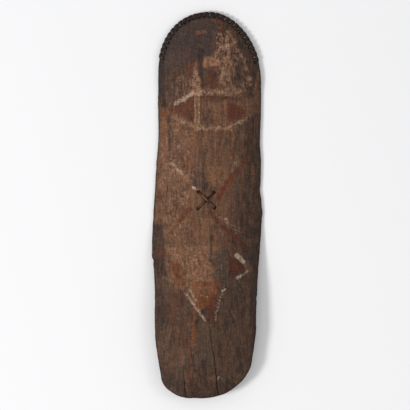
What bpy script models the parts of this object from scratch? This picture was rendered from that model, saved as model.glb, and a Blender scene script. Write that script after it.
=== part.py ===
"""A carved wooden battle shield, lying on its back with the painted face up.

The board is one plank whose length runs along Y, with its round, laced end at +Y. It is hollowed
behind and crowned in front, rests on a flat strip along each side, and its lower part is warped
up off the ground. One strand is whipped round the upper rim. A second strand crosses the middle
through four holes and leaves two loops behind that serve as the grip. All sizes are in metres.
"""
import bpy
import bmesh
import numpy as np

GAP = 0.0003                    # clearance between pieces that touch

BOARD_LENGTH = 1.4958           # foot to top of the wood
BOARD_WIDTH = 0.4268            # widest place
EDGE_THICKNESS = 0.0112         # wood at the very edge
CENTRE_THICKNESS = 0.0140       # wood in the middle
HOLLOW_DEPTH = 0.0260           # height of the hollow behind the middle
STRIP_SHARE = 0.90              # the flat strip behind starts at this share of the half width
FRONT_ROUNDING = 0.0040
BACK_ROUNDING = 0.0030

WARP_HEIGHT = 0.0420            # rise of the foot end off the ground
WARP_REACH = 0.7000             # the rise starts this far up from the foot
WARP_SLOPE = 0.4300             # and is complete over this length
WARP_POWER = 1.5

# Each side of the outline, as shares: height over the foot by board length, half width by width
LEFT_SIDE = ((0.0569, 0.4191), (0.0880, 0.4373), (0.1190, 0.4554), (0.1711, 0.4735), (0.2640, 0.4745),
             (0.3262, 0.4836), (0.3730, 0.5000), (0.4198, 0.5000), (0.4820, 0.4899), (0.5441, 0.4745),
             (0.6063, 0.4627), (0.6685, 0.4463), (0.7460, 0.4473), (0.8394, 0.4455))
RIGHT_SIDE = ((0.1035, 0.4091), (0.1346, 0.4262), (0.1711, 0.4435), (0.2175, 0.4450), (0.2640, 0.4525),
              (0.3262, 0.4637), (0.3730, 0.4763), (0.4198, 0.4899), (0.4820, 0.5000), (0.5441, 0.4871),
              (0.6063, 0.4899), (0.6685, 0.4827), (0.7460, 0.4918), (0.8200, 0.4915))
TOP_ROUNDNESS = (2.2, 1.9)      # superellipse power of the left and the right quarter
TOP_AXIS = 0.0240               # the top of the arc, as a share of the width
FOOT_ROUNDNESS = 1.8
FOOT_FLAT = (-0.1647, -0.0105)  # the flat foot runs between these shares of the width

SPINE_SHARES = (0.1070, 0.8757)  # the middle line that the surface rings shrink to
RING_SHARES = (0.12, 0.26, 0.42, 0.58, 0.74, STRIP_SHARE)
RIM_SHARE = 0.95                # one more ring in front, inside the row of holes
SIDE_STEPS = 17
TOP_STEPS = 26
FOOT_STEPS = 20

STITCH_PITCH = 0.0225
LACED_LEFT = 0.1760             # the first hole is this far below the top, on the left
LACED_RIGHT = 0.1900            # the last hole is this far below the top, on the right
LACE_THICKNESS = 0.0034         # strand where it lies flat over the edge
LACE_WIDTH = 0.0160
LACE_ROUND = 0.0058             # strand where it passes a hole
LACE_PLAY = 0.0016
RIM_HOLE_DIAMETER = LACE_ROUND + LACE_PLAY
RIM_HOLE_INSET = 0.0140         # hole centre to board edge
RIM_HOLE_SIDES = 10
LACE_SIDES = 6
LACE_TAIL = 0.0240              # free end behind the first hole
LACE_BEND = 0.65 * LACE_THICKNESS + GAP
LACE_ROOM = LACE_BEND + 0.35 * LACE_ROUND + 3 * GAP    # lift of the laced end off the ground
LACE_ROOM_SLOPE = 0.0700        # length of the slope up to that lift
LACE_ROOM_MARGIN = 0.0660       # the lift is full this far before the stitches

CROSS_X = -0.0033               # middle of the four holes, from the middle of the shield
CROSS_Y = 0.0169
CROSS_SPACING_X = 0.0624
CROSS_SPACING_Y = 0.0632
# The holes are bored by hand: top left, top right, foot left and foot right, in spacings
CROSS_HOLES = ((-0.484, 0.518), (0.484, 0.482), (-0.516, -0.524), (0.516, -0.476))
CORD_DIAMETER = 0.0065
CORD_PLAY = 0.0031
CROSS_HOLE_DIAMETER = CORD_DIAMETER + CORD_PLAY
CROSS_HOLE_SIDES = 12
LOOP_CLEARANCE = 0.0048         # the loops hang clear of the ground by this
KNOT_TURNS = 2
KNOT_PITCH = CORD_DIAMETER + 2 * GAP
KNOT_STEPS = 9
TAIL_LENGTH = 0.0330

# Cracks up from the foot: rows of x, height over the foot and width, from the tip down
MAIN_CRACK = ((0.0110, 0.2600, 0.0), (0.0130, 0.2326, 0.0014), (0.0265, 0.1628, 0.0022),
              (0.0382, 0.0500, 0.0028), (0.0425, 0.0020, 0.0042))
SIDE_CRACK = ((-0.0925, 0.1210, 0.0), (-0.0890, 0.0750, 0.0014), (-0.0839, 0.0020, 0.0026))
CUTTER_OVERRUN = 0.0090         # the crack cutters reach past the foot by this

FOOT_Y = -(BOARD_LENGTH + LACE_THICKNESS + GAP) / 2
TOP_Y = FOOT_Y + BOARD_LENGTH
CROWN = HOLLOW_DEPTH + CENTRE_THICKNESS - EDGE_THICKNESS
SPINE = tuple(FOOT_Y + share * BOARD_LENGTH for share in SPINE_SHARES)
CUTTER_HEIGHT = 2.2 * (WARP_HEIGHT + HOLLOW_DEPTH + CENTRE_THICKNESS)


def smooth_step(t):
    """Rises from 0 to 1 with level ends, as 3 t squared less 2 t cubed."""
    t = np.clip(t, 0.0, 1.0)
    return t * t * (3.0 - 2.0 * t)


def curve_through(stations, steps=24):
    """A Catmull-Rom curve through hand-set stations, finely sampled."""
    knots = np.array(stations, float)
    ends = np.vstack([2 * knots[0] - knots[1], knots, 2 * knots[-1] - knots[-2]])
    t = np.linspace(0.0, 1.0, steps, endpoint=False)[None, :, None]
    a, b, c, d = (ends[i:len(ends) - 3 + i, None, :] for i in range(4))
    curve = 0.5 * (2 * b + (c - a) * t + (2 * a - 5 * b + 4 * c - d) * t ** 2
                   + (3 * b - a - 3 * c + d) * t ** 3)
    return np.vstack([curve.reshape(-1, knots.shape[1]), knots[-1]])


def quarter(centre, across, along, power, steps=60):
    """A superellipse quarter from its side point to its end point."""
    angle = np.linspace(0.0, np.pi / 2, steps)
    x = centre[0] + across * np.cos(angle) ** (2 / power)
    y = centre[1] + along * np.sin(angle) ** (2 / power)
    return np.column_stack([x, y])


def edge_line(side):
    """Half of the outline from the foot to the top: side is -1 for the left, 1 for the right."""
    stations = np.array(LEFT_SIDE if side < 0 else RIGHT_SIDE)
    curve = curve_through(stations)
    flank = np.column_stack([side * curve[:, 1] * BOARD_WIDTH, FOOT_Y + curve[:, 0] * BOARD_LENGTH])
    flat = FOOT_FLAT[0 if side < 0 else 1] * BOARD_WIDTH
    foot = quarter((flat, flank[0, 1]), flank[0, 0] - flat, FOOT_Y - flank[0, 1], FOOT_ROUNDNESS)
    level = np.linspace(flat, sum(FOOT_FLAT) / 2 * BOARD_WIDTH, 9)[1:]
    foot = np.vstack([foot, np.column_stack([level, np.full(8, FOOT_Y)])])
    top_x = TOP_AXIS * BOARD_WIDTH
    top = quarter((top_x, flank[-1, 1]), flank[-1, 0] - top_x, TOP_Y - flank[-1, 1],
                  TOP_ROUNDNESS[0 if side < 0 else 1])
    return np.vstack([foot[::-1], flank[1:-1], top])


LEFT_EDGE = edge_line(-1)
RIGHT_EDGE = edge_line(1)
OUTLINE = np.vstack([RIGHT_EDGE, LEFT_EDGE[::-1]])


def edge_x(side, y):
    """Where a level line at y meets one side of the outline."""
    edge = LEFT_EDGE if side < 0 else RIGHT_EDGE
    return np.interp(y, edge[:, 1], edge[:, 0])


def fan(end):
    """Direction and reach of the outline seen from one end of the spine."""
    offset = OUTLINE - (0.0, SPINE[end])
    beyond = offset[:, 1] >= 0.0 if end else offset[:, 1] <= 0.0
    offset = offset[beyond]
    angle = np.arctan2(offset[:, 1], offset[:, 0])
    order = np.argsort(angle)
    return angle[order], np.hypot(offset[:, 0], offset[:, 1])[order]


FANS = (fan(0), fan(1))


def edge_share(x, y):
    """How far out a place lies: 0 on the spine, 1 on the outline."""
    x, y = np.broadcast_arrays(np.asarray(x, float), np.asarray(y, float))
    level = np.abs(x) / np.abs(np.where(x < 0, edge_x(-1, y), edge_x(1, y)))
    result = level
    for end, beyond in ((0, y < SPINE[0]), (1, y > SPINE[1])):
        along = y - SPINE[end]
        reach = np.interp(np.arctan2(along, x), *FANS[end])
        result = np.where(beyond, np.hypot(x, along) / reach, result)
    return result


def lift(y):
    """Height of the flat strips over the ground: the warped foot end and the laced end rise."""
    t = np.clip((FOOT_Y + WARP_REACH - y) / WARP_SLOPE, 0.0, 1.0)
    warp = WARP_HEIGHT * np.sin(np.pi / 2 * t) ** WARP_POWER
    full = TOP_Y - max(LACED_LEFT, LACED_RIGHT) - LACE_ROOM_MARGIN
    return warp + LACE_ROOM * smooth_step((y - full + LACE_ROOM_SLOPE) / LACE_ROOM_SLOPE)


def back_height(x, y):
    """The back: flat strips round the edge, and a parabola hollow between them."""
    share = edge_share(x, y) / STRIP_SHARE
    return lift(y) + HOLLOW_DEPTH * np.clip(1.0 - share ** 2, 0.0, None)


def front_height(x, y):
    """The front: a parabola crown over the edge."""
    return lift(y) + EDGE_THICKNESS + CROWN * (1.0 - edge_share(x, y) ** 2)


def outline_stations():
    """The outline points of the mesh, each with the spine point that its ring shrinks to."""
    levels = np.linspace(SPINE[0], SPINE[1], SIDE_STEPS + 1)
    right = np.column_stack([edge_x(1, levels), levels])
    left = np.column_stack([edge_x(-1, levels), levels])[::-1]
    ends = []
    for end, steps in ((1, TOP_STEPS), (0, FOOT_STEPS)):
        angles, reach = FANS[end]
        turn = np.linspace(angles[0], angles[-1], steps + 1)[1:-1]
        distance = np.interp(turn, angles, reach)
        ends.append(np.column_stack([distance * np.cos(turn), SPINE[end] + distance * np.sin(turn)]))
    points = np.vstack([right, ends[0], left, ends[1]])
    spine = np.column_stack([np.zeros(len(points)), np.clip(points[:, 1], *SPINE)])
    return points, spine


def outward(points):
    """Unit normals of a closed line of points that runs counter-clockwise."""
    along = np.roll(points, -1, axis=0) - np.roll(points, 1, axis=0)
    normal = np.column_stack([along[:, 1], -along[:, 0]])
    return normal / np.linalg.norm(normal, axis=1)[:, None]


def material(name, colour, roughness):
    """A plain surface for one sub-part."""
    made = bpy.data.materials.new(name)
    made.use_nodes = True
    shader = made.node_tree.nodes["Principled BSDF"]
    shader.inputs["Base Color"].default_value = (*colour, 1.0)
    shader.inputs["Roughness"].default_value = roughness
    shader.inputs["Metallic"].default_value = 0.0
    return made


def mesh_object(name, bm, finish=None):
    """Puts a finished bmesh into the scene."""
    mesh = bpy.data.meshes.new(name)
    bm.to_mesh(mesh)
    bm.free()
    made = bpy.data.objects.new(name, mesh)
    bpy.context.scene.collection.objects.link(made)
    if finish:
        mesh.materials.append(finish)
        mesh.shade_smooth()
        mesh.set_sharp_from_angle(angle=np.radians(40))
    return made


def ring_mesh(rings, close_ends=False):
    """A skin over rows of points, closed along each row, with flat caps if asked."""
    bm = bmesh.new()
    rows = [[bm.verts.new(point) for point in ring] for ring in rings]
    for inner, outer in zip(rows, rows[1:]):
        for i in range(len(inner)):
            j = (i + 1) % len(inner)
            bm.faces.new((inner[i], outer[i], outer[j], inner[j]))
    if close_ends:
        bm.faces.new(rows[0])
        bm.faces.new(rows[-1][::-1])
    return bm


def board_rings():
    """Rings of points from the middle of the front, round the edge, to the middle of the back."""
    edge, spine = outline_stations()
    normal = outward(edge)

    def on_share(share, height):
        place = spine + (edge - spine) * share
        return np.column_stack([place, height(place[:, 0], place[:, 1])])

    def on_edge(inset, height, drop):
        place = edge - normal * inset
        return np.column_stack([place, height(place[:, 0], place[:, 1]) + drop])

    corner = 1.0 - np.sqrt(0.5)
    front = [on_share(share, front_height) for share in (0.0, *RING_SHARES, RIM_SHARE)]
    back = [on_share(share, back_height) for share in (*RING_SHARES[::-1], 0.0)]
    rim = [on_edge(FRONT_ROUNDING, front_height, 0.0),
           on_edge(FRONT_ROUNDING * corner, front_height, -FRONT_ROUNDING * corner),
           on_edge(0.0, front_height, -FRONT_ROUNDING),
           on_edge(0.0, back_height, BACK_ROUNDING),
           on_edge(BACK_ROUNDING * corner, back_height, BACK_ROUNDING * corner),
           on_edge(BACK_ROUNDING, back_height, 0.0)]
    return front + rim + back


def cutter(name, bm):
    """A guide that only cuts."""
    made = mesh_object(name, bm)
    made.hide_render = True
    made.display_type = "WIRE"
    return made


def cut(target, tool):
    """Takes the cutter out of the target with a live modifier."""
    boolean = target.modifiers.new(tool.name, "BOOLEAN")
    boolean.operation = "DIFFERENCE"
    boolean.solver = "EXACT"
    boolean.object = tool


def hole_cutter(name, places, diameter, sides):
    """Upright prisms through the board at each place."""
    bm = bmesh.new()
    for x, y in places:
        made = bmesh.ops.create_cone(bm, cap_ends=True, segments=sides, radius1=diameter / 2,
                                     radius2=diameter / 2, depth=CUTTER_HEIGHT)
        bmesh.ops.translate(bm, verts=made["verts"], vec=(x, y, 0.0))
    return cutter(name, bm)


def crack_cutter(name, path):
    """An upright wedge along a crack, from its tip to past the foot."""
    rows = np.array(path)
    last = rows[-1] + (rows[-1] - rows[-2]) * CUTTER_OVERRUN / (rows[-2, 1] - rows[-1, 1])
    rows = np.vstack([rows, last])
    middle = rows[:, :2] + (0.0, FOOT_Y)
    half = np.column_stack([rows[:, 2] / 2, np.zeros(len(rows))])
    outline = np.vstack([middle - half, (middle + half)[:0:-1]])
    bm = bmesh.new()
    face = bm.faces.new([bm.verts.new((x, y, -CUTTER_HEIGHT / 2)) for x, y in outline])
    made = bmesh.ops.extrude_face_region(bm, geom=[face])
    moved = [item for item in made["geom"] if isinstance(item, bmesh.types.BMVert)]
    bmesh.ops.translate(bm, verts=moved, vec=(0.0, 0.0, CUTTER_HEIGHT))
    bmesh.ops.recalc_face_normals(bm, faces=bm.faces)
    return cutter(name, bm)


def laced_rim():
    """The edge over the top from the first stitch to the last, by distance along it."""
    left = LEFT_EDGE[LEFT_EDGE[:, 1] > 0.0]
    right = RIGHT_EDGE[RIGHT_EDGE[:, 1] > 0.0][::-1]
    line = np.vstack([left, right[1:]])
    length = np.concatenate([[0.0], np.cumsum(np.linalg.norm(np.diff(line, axis=0), axis=1))])
    start = np.interp(TOP_Y - LACED_LEFT, left[:, 1], length[:len(left)])
    end = np.interp(LACED_RIGHT - TOP_Y, -right[:, 1], length[len(left) - 1:])
    return line, length, start, end


def rim_place(rim, distance):
    """Edge point and outward direction at a distance along the rim."""
    line, length, _, _ = rim
    step = STITCH_PITCH / 4
    here, ahead, behind = (np.column_stack([np.interp(distance + shift, length, line[:, axis])
                                            for axis in (0, 1)]) for shift in (0.0, step, -step))
    along = ahead - behind
    normal = np.column_stack([-along[:, 1], along[:, 0]])
    return here, normal / np.linalg.norm(normal, axis=1)[:, None]


def stitch_distances(rim):
    """Distances of the holes along the rim, evenly spread at about the named pitch."""
    _, _, start, end = rim
    count = round((end - start) / STITCH_PITCH)
    return np.linspace(start, end, count + 1)


def stitch_shape():
    """One stitch across the rim: advance, distance out from the edge, height, width, thickness.

    It rises through its hole, bends over the front, fans out flat round the edge and
    comes back behind to the next hole. Heights are over the strip behind.
    """
    hole = -RIM_HOLE_INSET
    radius = RIM_HOLE_DIAMETER / 2
    share = 1.0 - RIM_HOLE_INSET / (BOARD_WIDTH / 2)
    top = EDGE_THICKNESS + CROWN * (1.0 - share ** 2)
    slope = (top - EDGE_THICKNESS) / RIM_HOLE_INSET
    flat = LACE_THICKNESS / 2 + GAP
    thick = LACE_ROUND / 2 + GAP
    diagonal = np.sqrt(0.5)
    front_turn = (FRONT_ROUNDING + flat) * diagonal - FRONT_ROUNDING
    back_turn = (BACK_ROUNDING + flat + GAP) * diagonal - BACK_ROUNDING
    edge_top = EDGE_THICKNESS + slope * FRONT_ROUNDING
    return np.array([
        (0.00, hole, radius * 0.3, LACE_ROUND, LACE_ROUND),
        (0.00, hole, top - radius * 0.3, LACE_ROUND, LACE_ROUND),
        (0.02, hole + radius * 0.35, top + thick * 0.75, LACE_ROUND * 1.1, LACE_ROUND * 0.92),
        (0.09, hole + radius * 1.25, top + LACE_BEND, LACE_WIDTH * 0.58, LACE_ROUND * 0.70),
        (0.22, -FRONT_ROUNDING, edge_top + flat + GAP, LACE_WIDTH * 0.86, LACE_THICKNESS * 1.1),
        (0.35, front_turn, edge_top + front_turn, LACE_WIDTH, LACE_THICKNESS),
        (0.46, flat, edge_top - FRONT_ROUNDING, LACE_WIDTH, LACE_THICKNESS),
        (0.54, flat, BACK_ROUNDING, LACE_WIDTH, LACE_THICKNESS),
        (0.65, back_turn, -back_turn, LACE_WIDTH, LACE_THICKNESS),
        (0.76, -BACK_ROUNDING * 1.15, -flat - GAP, LACE_WIDTH * 0.90, LACE_THICKNESS),
        (0.92, hole + radius * 1.1, -LACE_BEND, LACE_WIDTH * 0.58, LACE_ROUND * 0.70),
        (0.985, hole + radius * 0.3, -0.7 * LACE_BEND, LACE_ROUND * 1.1, LACE_ROUND * 0.80),
    ])


def tail_shape():
    """The free end of the strand behind the board, in rows as those of a stitch."""
    hole = -RIM_HOLE_INSET
    return np.array([
        (0.0, hole - LACE_TAIL, -LACE_BEND, LACE_WIDTH * 0.45, LACE_THICKNESS),
        (0.0, hole - LACE_TAIL * 0.5, -LACE_BEND, LACE_WIDTH * 0.50, LACE_THICKNESS),
        (0.0, hole - RIM_HOLE_DIAMETER * 0.55, -LACE_BEND, LACE_WIDTH * 0.50, LACE_ROUND * 0.70),
        (0.0, hole - RIM_HOLE_DIAMETER * 0.15, -0.8 * LACE_BEND, LACE_ROUND * 1.1, LACE_ROUND * 0.80),
    ])


def rim_strand_rings(rim):
    """The whole whipped strand as rings of points: flat over the edge and round in the holes."""
    places = stitch_distances(rim)
    stitch = stitch_shape()
    rows = []
    for start, end in zip(places, places[1:]):
        part = stitch.copy()
        part[:, 0] = start + part[:, 0] * (end - start)
        rows.append(part)
    tail, last = tail_shape(), stitch[:2].copy()
    tail[:, 0], last[:, 0] = places[0], places[-1]
    rows = np.vstack([tail, *rows, last])
    edge, normal = rim_place(rim, rows[:, 0])
    ground = lift(edge[:, 1])
    path = np.column_stack([edge + normal * rows[:, 1:2], ground + rows[:, 2]])
    ahead = np.vstack([path[1:], path[-1:]])
    behind = np.vstack([path[:1], path[:-1]])
    along = np.column_stack([normal[:, 1], -normal[:, 0], np.zeros(len(normal))])
    thin = np.cross(ahead - behind, along)
    thin /= np.linalg.norm(thin, axis=1)[:, None]
    angle = 2 * np.pi * np.arange(LACE_SIDES) / LACE_SIDES
    across = np.cos(angle)[None, :, None]
    upright = (np.sin(angle) / np.sin(angle).max())[None, :, None]
    ring = (along[:, None, :] * across * rows[:, None, 3:4] / 2
            + thin[:, None, :] * upright * rows[:, None, 4:5] / 2)
    return path[:, None, :] + ring


def rim_hole_places(rim):
    """Centres of the holes along the laced rim."""
    edge, normal = rim_place(rim, stitch_distances(rim))
    return edge - normal * RIM_HOLE_INSET


def cross_hole_places():
    """The four holes of the crossing strand."""
    return np.array([CROSS_X, CROSS_Y]) + np.array(CROSS_HOLES) * (CROSS_SPACING_X, CROSS_SPACING_Y)


def bend_over(hole, toward, height):
    """Quarter circle from a hole's axis onto the front."""
    way = (toward - hole) / np.linalg.norm(toward - hole)
    radius = CROSS_HOLE_DIAMETER / 2
    angle = np.radians((0.0, 35.0, 65.0, 90.0))[:, None]
    flat = hole + way * radius * (1.0 - np.cos(angle))
    return np.column_stack([flat, height + radius * np.sin(angle)])


def front_run(start, end, hump):
    """The strand along the front between two holes, raised by a hump where it crosses over."""
    length = np.linalg.norm(end - start)
    margin = CROSS_HOLE_DIAMETER * 1.3 / length
    share = np.linspace(margin, 1.0 - margin, 9)
    flat = start + (end - start) * share[:, None]
    rest = CORD_DIAMETER / 2 + 1.5 * GAP
    raised = hump * smooth_step(1.0 - np.abs(share - 0.5) * length / (3.4 * CORD_DIAMETER))
    return np.column_stack([flat, front_height(flat[:, 0], flat[:, 1]) + rest + raised])


def hanging(start, end, depth, angles):
    """Points of an ellipse that hangs behind the board from one place towards another."""
    angle = np.radians(angles)[:, None]
    flat = (start + end) / 2 - (end - start) / 2 * np.cos(angle)
    level = float(back_height(*start))
    return np.column_stack([flat, level - depth * np.sin(angle)])


def knotted_tail(hole, level):
    """The strand's free end behind its hole, and the winding of its other end round it.

    The tail bends out of the hole and runs straight on. The winding comes in below it on a
    quarter circle and then climbs round it as a helix.
    """
    coil = CORD_DIAMETER + GAP
    depth = coil + CORD_DIAMETER / 2 + 3 * GAP
    bend = 0.95 * depth
    angle = np.radians((90.0, 60.0, 30.0, 0.0))
    tail = np.column_stack([np.full(4, hole[0]), hole[1] + bend * (1 - np.cos(angle)),
                            level - bend * np.sin(angle)])
    tail = np.vstack([(hole[0], hole[1] + TAIL_LENGTH, level - depth), tail])
    swing = 1.4 * CORD_DIAMETER
    begin = hole + (-swing, 0.36 * TAIL_LENGTH - swing)
    angle = np.radians(np.linspace(0.0, 90.0, 5))[:-1]
    quarter_turn = np.column_stack([begin[0] + swing * (1 - np.cos(angle)),
                                    begin[1] + swing * np.sin(angle),
                                    np.full(4, level - depth - coil)])
    wind = np.arange(KNOT_TURNS * KNOT_STEPS + 1) * 2 * np.pi / KNOT_STEPS
    helix = np.column_stack([hole[0] + coil * np.sin(wind),
                             begin[1] + swing + KNOT_PITCH * wind / (2 * np.pi),
                             level - depth - coil * np.cos(wind)])
    return tail, np.vstack([quarter_turn, helix])


def cross_path():
    """The middle line of the crossing strand, from its tail to the last turn of its knot."""
    holes = cross_hole_places()
    top_left, top_right, foot_left, foot_right = holes
    front = front_height(holes[:, 0], holes[:, 1])
    level = float(back_height(*top_right))
    tail, winding = knotted_tail(top_right, level)
    depth = HOLLOW_DEPTH - LOOP_CLEARANCE - CORD_DIAMETER / 2
    loop = hanging(foot_left, top_left, depth, np.linspace(0.0, 180.0, 11))
    mirrored = np.array([foot_right[0], 2 * CROSS_Y - foot_right[1]])
    second = hanging(foot_right, mirrored, level - winding[0, 2], np.linspace(0.0, 90.0, 6))
    return np.vstack([tail,
                      bend_over(top_right, foot_left, front[1]),
                      front_run(top_right, foot_left, 0.0),
                      bend_over(foot_left, top_right, front[2])[::-1],
                      loop,
                      bend_over(top_left, foot_right, front[0]),
                      front_run(top_left, foot_right, CORD_DIAMETER + GAP),
                      bend_over(foot_right, top_left, front[3])[::-1],
                      second, (second[-1] + winding[0]) / 2, winding])


def make_board():
    bm = ring_mesh(board_rings())
    bmesh.ops.remove_doubles(bm, verts=bm.verts, dist=1e-6)
    board = mesh_object("board", bm, material("old_wood", (0.13, 0.085, 0.055), 0.75))
    rim = laced_rim()
    cut(board, hole_cutter("rim_hole_cutter", rim_hole_places(rim), RIM_HOLE_DIAMETER, RIM_HOLE_SIDES))
    cut(board, hole_cutter("cross_hole_cutter", cross_hole_places(), CROSS_HOLE_DIAMETER,
                           CROSS_HOLE_SIDES))
    cut(board, crack_cutter("main_crack_cutter", MAIN_CRACK))
    cut(board, crack_cutter("side_crack_cutter", SIDE_CRACK))


def make_rim_lacing():
    bm = ring_mesh(rim_strand_rings(laced_rim()), close_ends=True)
    bmesh.ops.recalc_face_normals(bm, faces=bm.faces)
    mesh_object("rim_lacing", bm, material("dark_cane", (0.045, 0.035, 0.028), 0.65))


def make_cross_lacing():
    curve = bpy.data.curves.new("cross_lacing", "CURVE")
    curve.dimensions = "3D"
    curve.bevel_depth = CORD_DIAMETER / 2
    curve.bevel_resolution = 2
    curve.use_fill_caps = True
    path = cross_path()
    spline = curve.splines.new("POLY")
    spline.points.add(len(path) - 1)
    for point, place in zip(spline.points, path):
        point.co = (*place, 1.0)
    curve.materials.append(material("brown_cane", (0.20, 0.11, 0.06), 0.5))
    bpy.context.scene.collection.objects.link(bpy.data.objects.new("cross_lacing", curve))


def main():
    for item in list(bpy.data.objects):
        bpy.data.objects.remove(item, do_unlink=True)
    make_board()
    make_rim_lacing()
    make_cross_lacing()


main()
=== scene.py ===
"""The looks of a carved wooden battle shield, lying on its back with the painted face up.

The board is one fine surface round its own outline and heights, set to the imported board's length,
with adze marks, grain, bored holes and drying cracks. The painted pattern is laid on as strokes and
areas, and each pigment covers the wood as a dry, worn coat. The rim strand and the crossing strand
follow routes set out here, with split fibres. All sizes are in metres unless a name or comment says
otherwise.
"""

import bmesh
import bpy
import numpy as np
from bpy.props import FloatProperty, FloatVectorProperty, PointerProperty
from bpy.types import Operator, Panel, PropertyGroup
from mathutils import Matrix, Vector


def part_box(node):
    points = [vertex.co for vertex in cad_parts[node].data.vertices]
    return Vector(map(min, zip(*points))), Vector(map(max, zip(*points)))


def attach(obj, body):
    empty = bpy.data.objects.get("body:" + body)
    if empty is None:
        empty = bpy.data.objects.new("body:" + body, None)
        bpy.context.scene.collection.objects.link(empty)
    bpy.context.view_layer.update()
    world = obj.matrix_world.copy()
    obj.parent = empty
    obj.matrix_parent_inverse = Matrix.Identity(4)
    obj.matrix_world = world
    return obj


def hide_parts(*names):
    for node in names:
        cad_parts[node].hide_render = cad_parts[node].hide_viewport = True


bl_info = {
    "name": "Carved Battle Shield",
    "version": (1, 0, 0),
    "blender": (4, 5, 0),
    "location": "3D View > Sidebar > Shield",
    "description": "Builds a painted, laced battle shield and the stage it lies on",
    "category": "Object",
}

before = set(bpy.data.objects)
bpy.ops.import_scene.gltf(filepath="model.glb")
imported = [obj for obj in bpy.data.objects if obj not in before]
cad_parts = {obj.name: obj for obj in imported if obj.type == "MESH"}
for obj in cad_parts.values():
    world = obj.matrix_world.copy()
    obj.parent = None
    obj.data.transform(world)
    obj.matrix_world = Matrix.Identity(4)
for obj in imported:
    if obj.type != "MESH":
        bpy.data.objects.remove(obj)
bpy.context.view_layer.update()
BOARD_LOW, BOARD_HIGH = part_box("board")

# Room between parts that lie against each other
GAP = 0.0003

# Each side of the outline, as shares: height over the foot by board length, half width by width
LEFT_SIDE = ((0.0569, 0.4191), (0.0880, 0.4373), (0.1190, 0.4554), (0.1711, 0.4735), (0.2640, 0.4745),
             (0.3262, 0.4836), (0.3730, 0.5000), (0.4198, 0.5000), (0.4820, 0.4899), (0.5441, 0.4745),
             (0.6063, 0.4627), (0.6685, 0.4463), (0.7460, 0.4473), (0.8394, 0.4455))
RIGHT_SIDE = ((0.1035, 0.4091), (0.1346, 0.4262), (0.1711, 0.4435), (0.2175, 0.4450), (0.2640, 0.4525),
              (0.3262, 0.4637), (0.3730, 0.4763), (0.4198, 0.4899), (0.4820, 0.5000), (0.5441, 0.4871),
              (0.6063, 0.4899), (0.6685, 0.4827), (0.7460, 0.4918), (0.8200, 0.4915))
# The outline's other values: its width, the powers of the top's left and right quarter and of the
# foot's, and, as shares of the width, the top's axis and the ends of the flat stretch at the foot
BOARD_WIDTH = 0.4268
TOP_ROUNDNESS = (2.2, 1.9)
TOP_AXIS = 0.0240
FOOT_ROUNDNESS = 1.8
FOOT_FLAT = (-0.1647, -0.0105)
# The spine's ends as shares of the length, and how far out the flat strips behind begin
SPINE_SHARES = (0.1070, 0.8757)
STRIP_SHARE = 0.90
FOOT_Y, TOP_Y = BOARD_LOW.y, BOARD_HIGH.y
BOARD_LENGTH = TOP_Y - FOOT_Y
SPINE = tuple(FOOT_Y + share * BOARD_LENGTH for share in SPINE_SHARES)

# How finely surfaces are divided: the board's flanks and ends, its rings as shares of the way out
# in front and behind and as degrees round its edges, and the sides of round things
FLANK_STEPS, TOP_STEPS, FOOT_STEPS = 236, 104, 84
FACE_SHARES = (*np.linspace(0.0, 0.93, 76), 0.945, 0.96)
BACK_SHARES = (0.96, 0.93, STRIP_SHARE, *np.linspace(0.87, 0.0, 26))
FRONT_EDGE_DEGREES = (0.0, 25.0, 50.0, 70.0, 90.0)
BACK_EDGE_DEGREES = (90.0, 60.0, 30.0, 0.0)
RIM_SIDES, CORD_SIDES, HOLE_SIDES = 32, 24, 20
STRAND_STEPS = 4
SLIVER = 0.00003
SHARP_DEGREES = 48

# Small steps and swellings of the edge: side, place along the board, reach and outward size
NICKS = ((-1, 0.396, 0.010, 0.0012), (-1, 0.163, 0.009, 0.0012), (-1, 0.115, 0.008, 0.0010),
         (-1, -0.050, 0.014, -0.0013), (-1, -0.200, 0.013, 0.0024), (-1, -0.218, 0.008, -0.0030),
         (-1, 0.300, 0.040, -0.0008), (-1, -0.420, 0.030, 0.0010), (1, 0.054, 0.018, -0.0028),
         (1, -0.033, 0.012, 0.0024), (1, -0.364, 0.009, -0.0022), (1, 0.180, 0.030, 0.0009),
         (1, -0.150, 0.020, -0.0008), (1, 0.020, 0.008, 0.0007))

# Smooth random heights: how high they swing, their size across and along, and their seed
NOISES = {
    "facets' bend": (0.006, 0.05, 0.11, 11),
    "waviness": (0.0007, 0.07, 0.16, 12),
    "facets": (1.0, 0.024, 0.062, 13),
    "fine grain": (1.0, 0.0042, 0.09, 14),
    "coarse grain": (0.7, 0.0085, 0.2, 15),
    "pits": (1.0, 0.009, 0.03, 16),
    "cuts' rows": (0.9, 0.045, 0.3, 21),
    "cuts' columns": (0.5, 0.09, 0.06, 22),
    "rough back": (1.0, 0.005, 0.05, 23),
    "edge waves": (0.0005, 0.019, 1.0, 5),
    "edge fibres": (0.0003, 0.007, 1.0, 6),
    "foot chips": (0.0011, 0.023, 1.0, 7),
    "crack's way": (0.0008, 0.013, 1.0, 0),
    "crack's width": (0.35, 0.009, 1.0, 1),
    "cord's width": (0.04, 0.017, 1.0, 51),
}
# The row that each edge noise is read at on the right side. The left side reads it at its negative
WAVES_ROW, FIBRES_ROW = 3.3, 5.1
# Where the edge noises come in: x on the flanks and y under the spine, each over a length
FLANK_FROM, FLANK_FADE = 0.10, 0.06
CHIPS_FROM, CHIPS_FADE = 0.06, 0.05
# The face is calmer under the lacing, which ends this far below it and over this length
LACED_CALM, LACED_BELOW, LACED_FADE = 0.85, 0.05, 0.04
# Pits come in where their noise is above a height, over a range of it
PIT_DEPTH, PITS_FROM, PITS_RANGE = 0.0006, 0.62, 0.3
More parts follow.
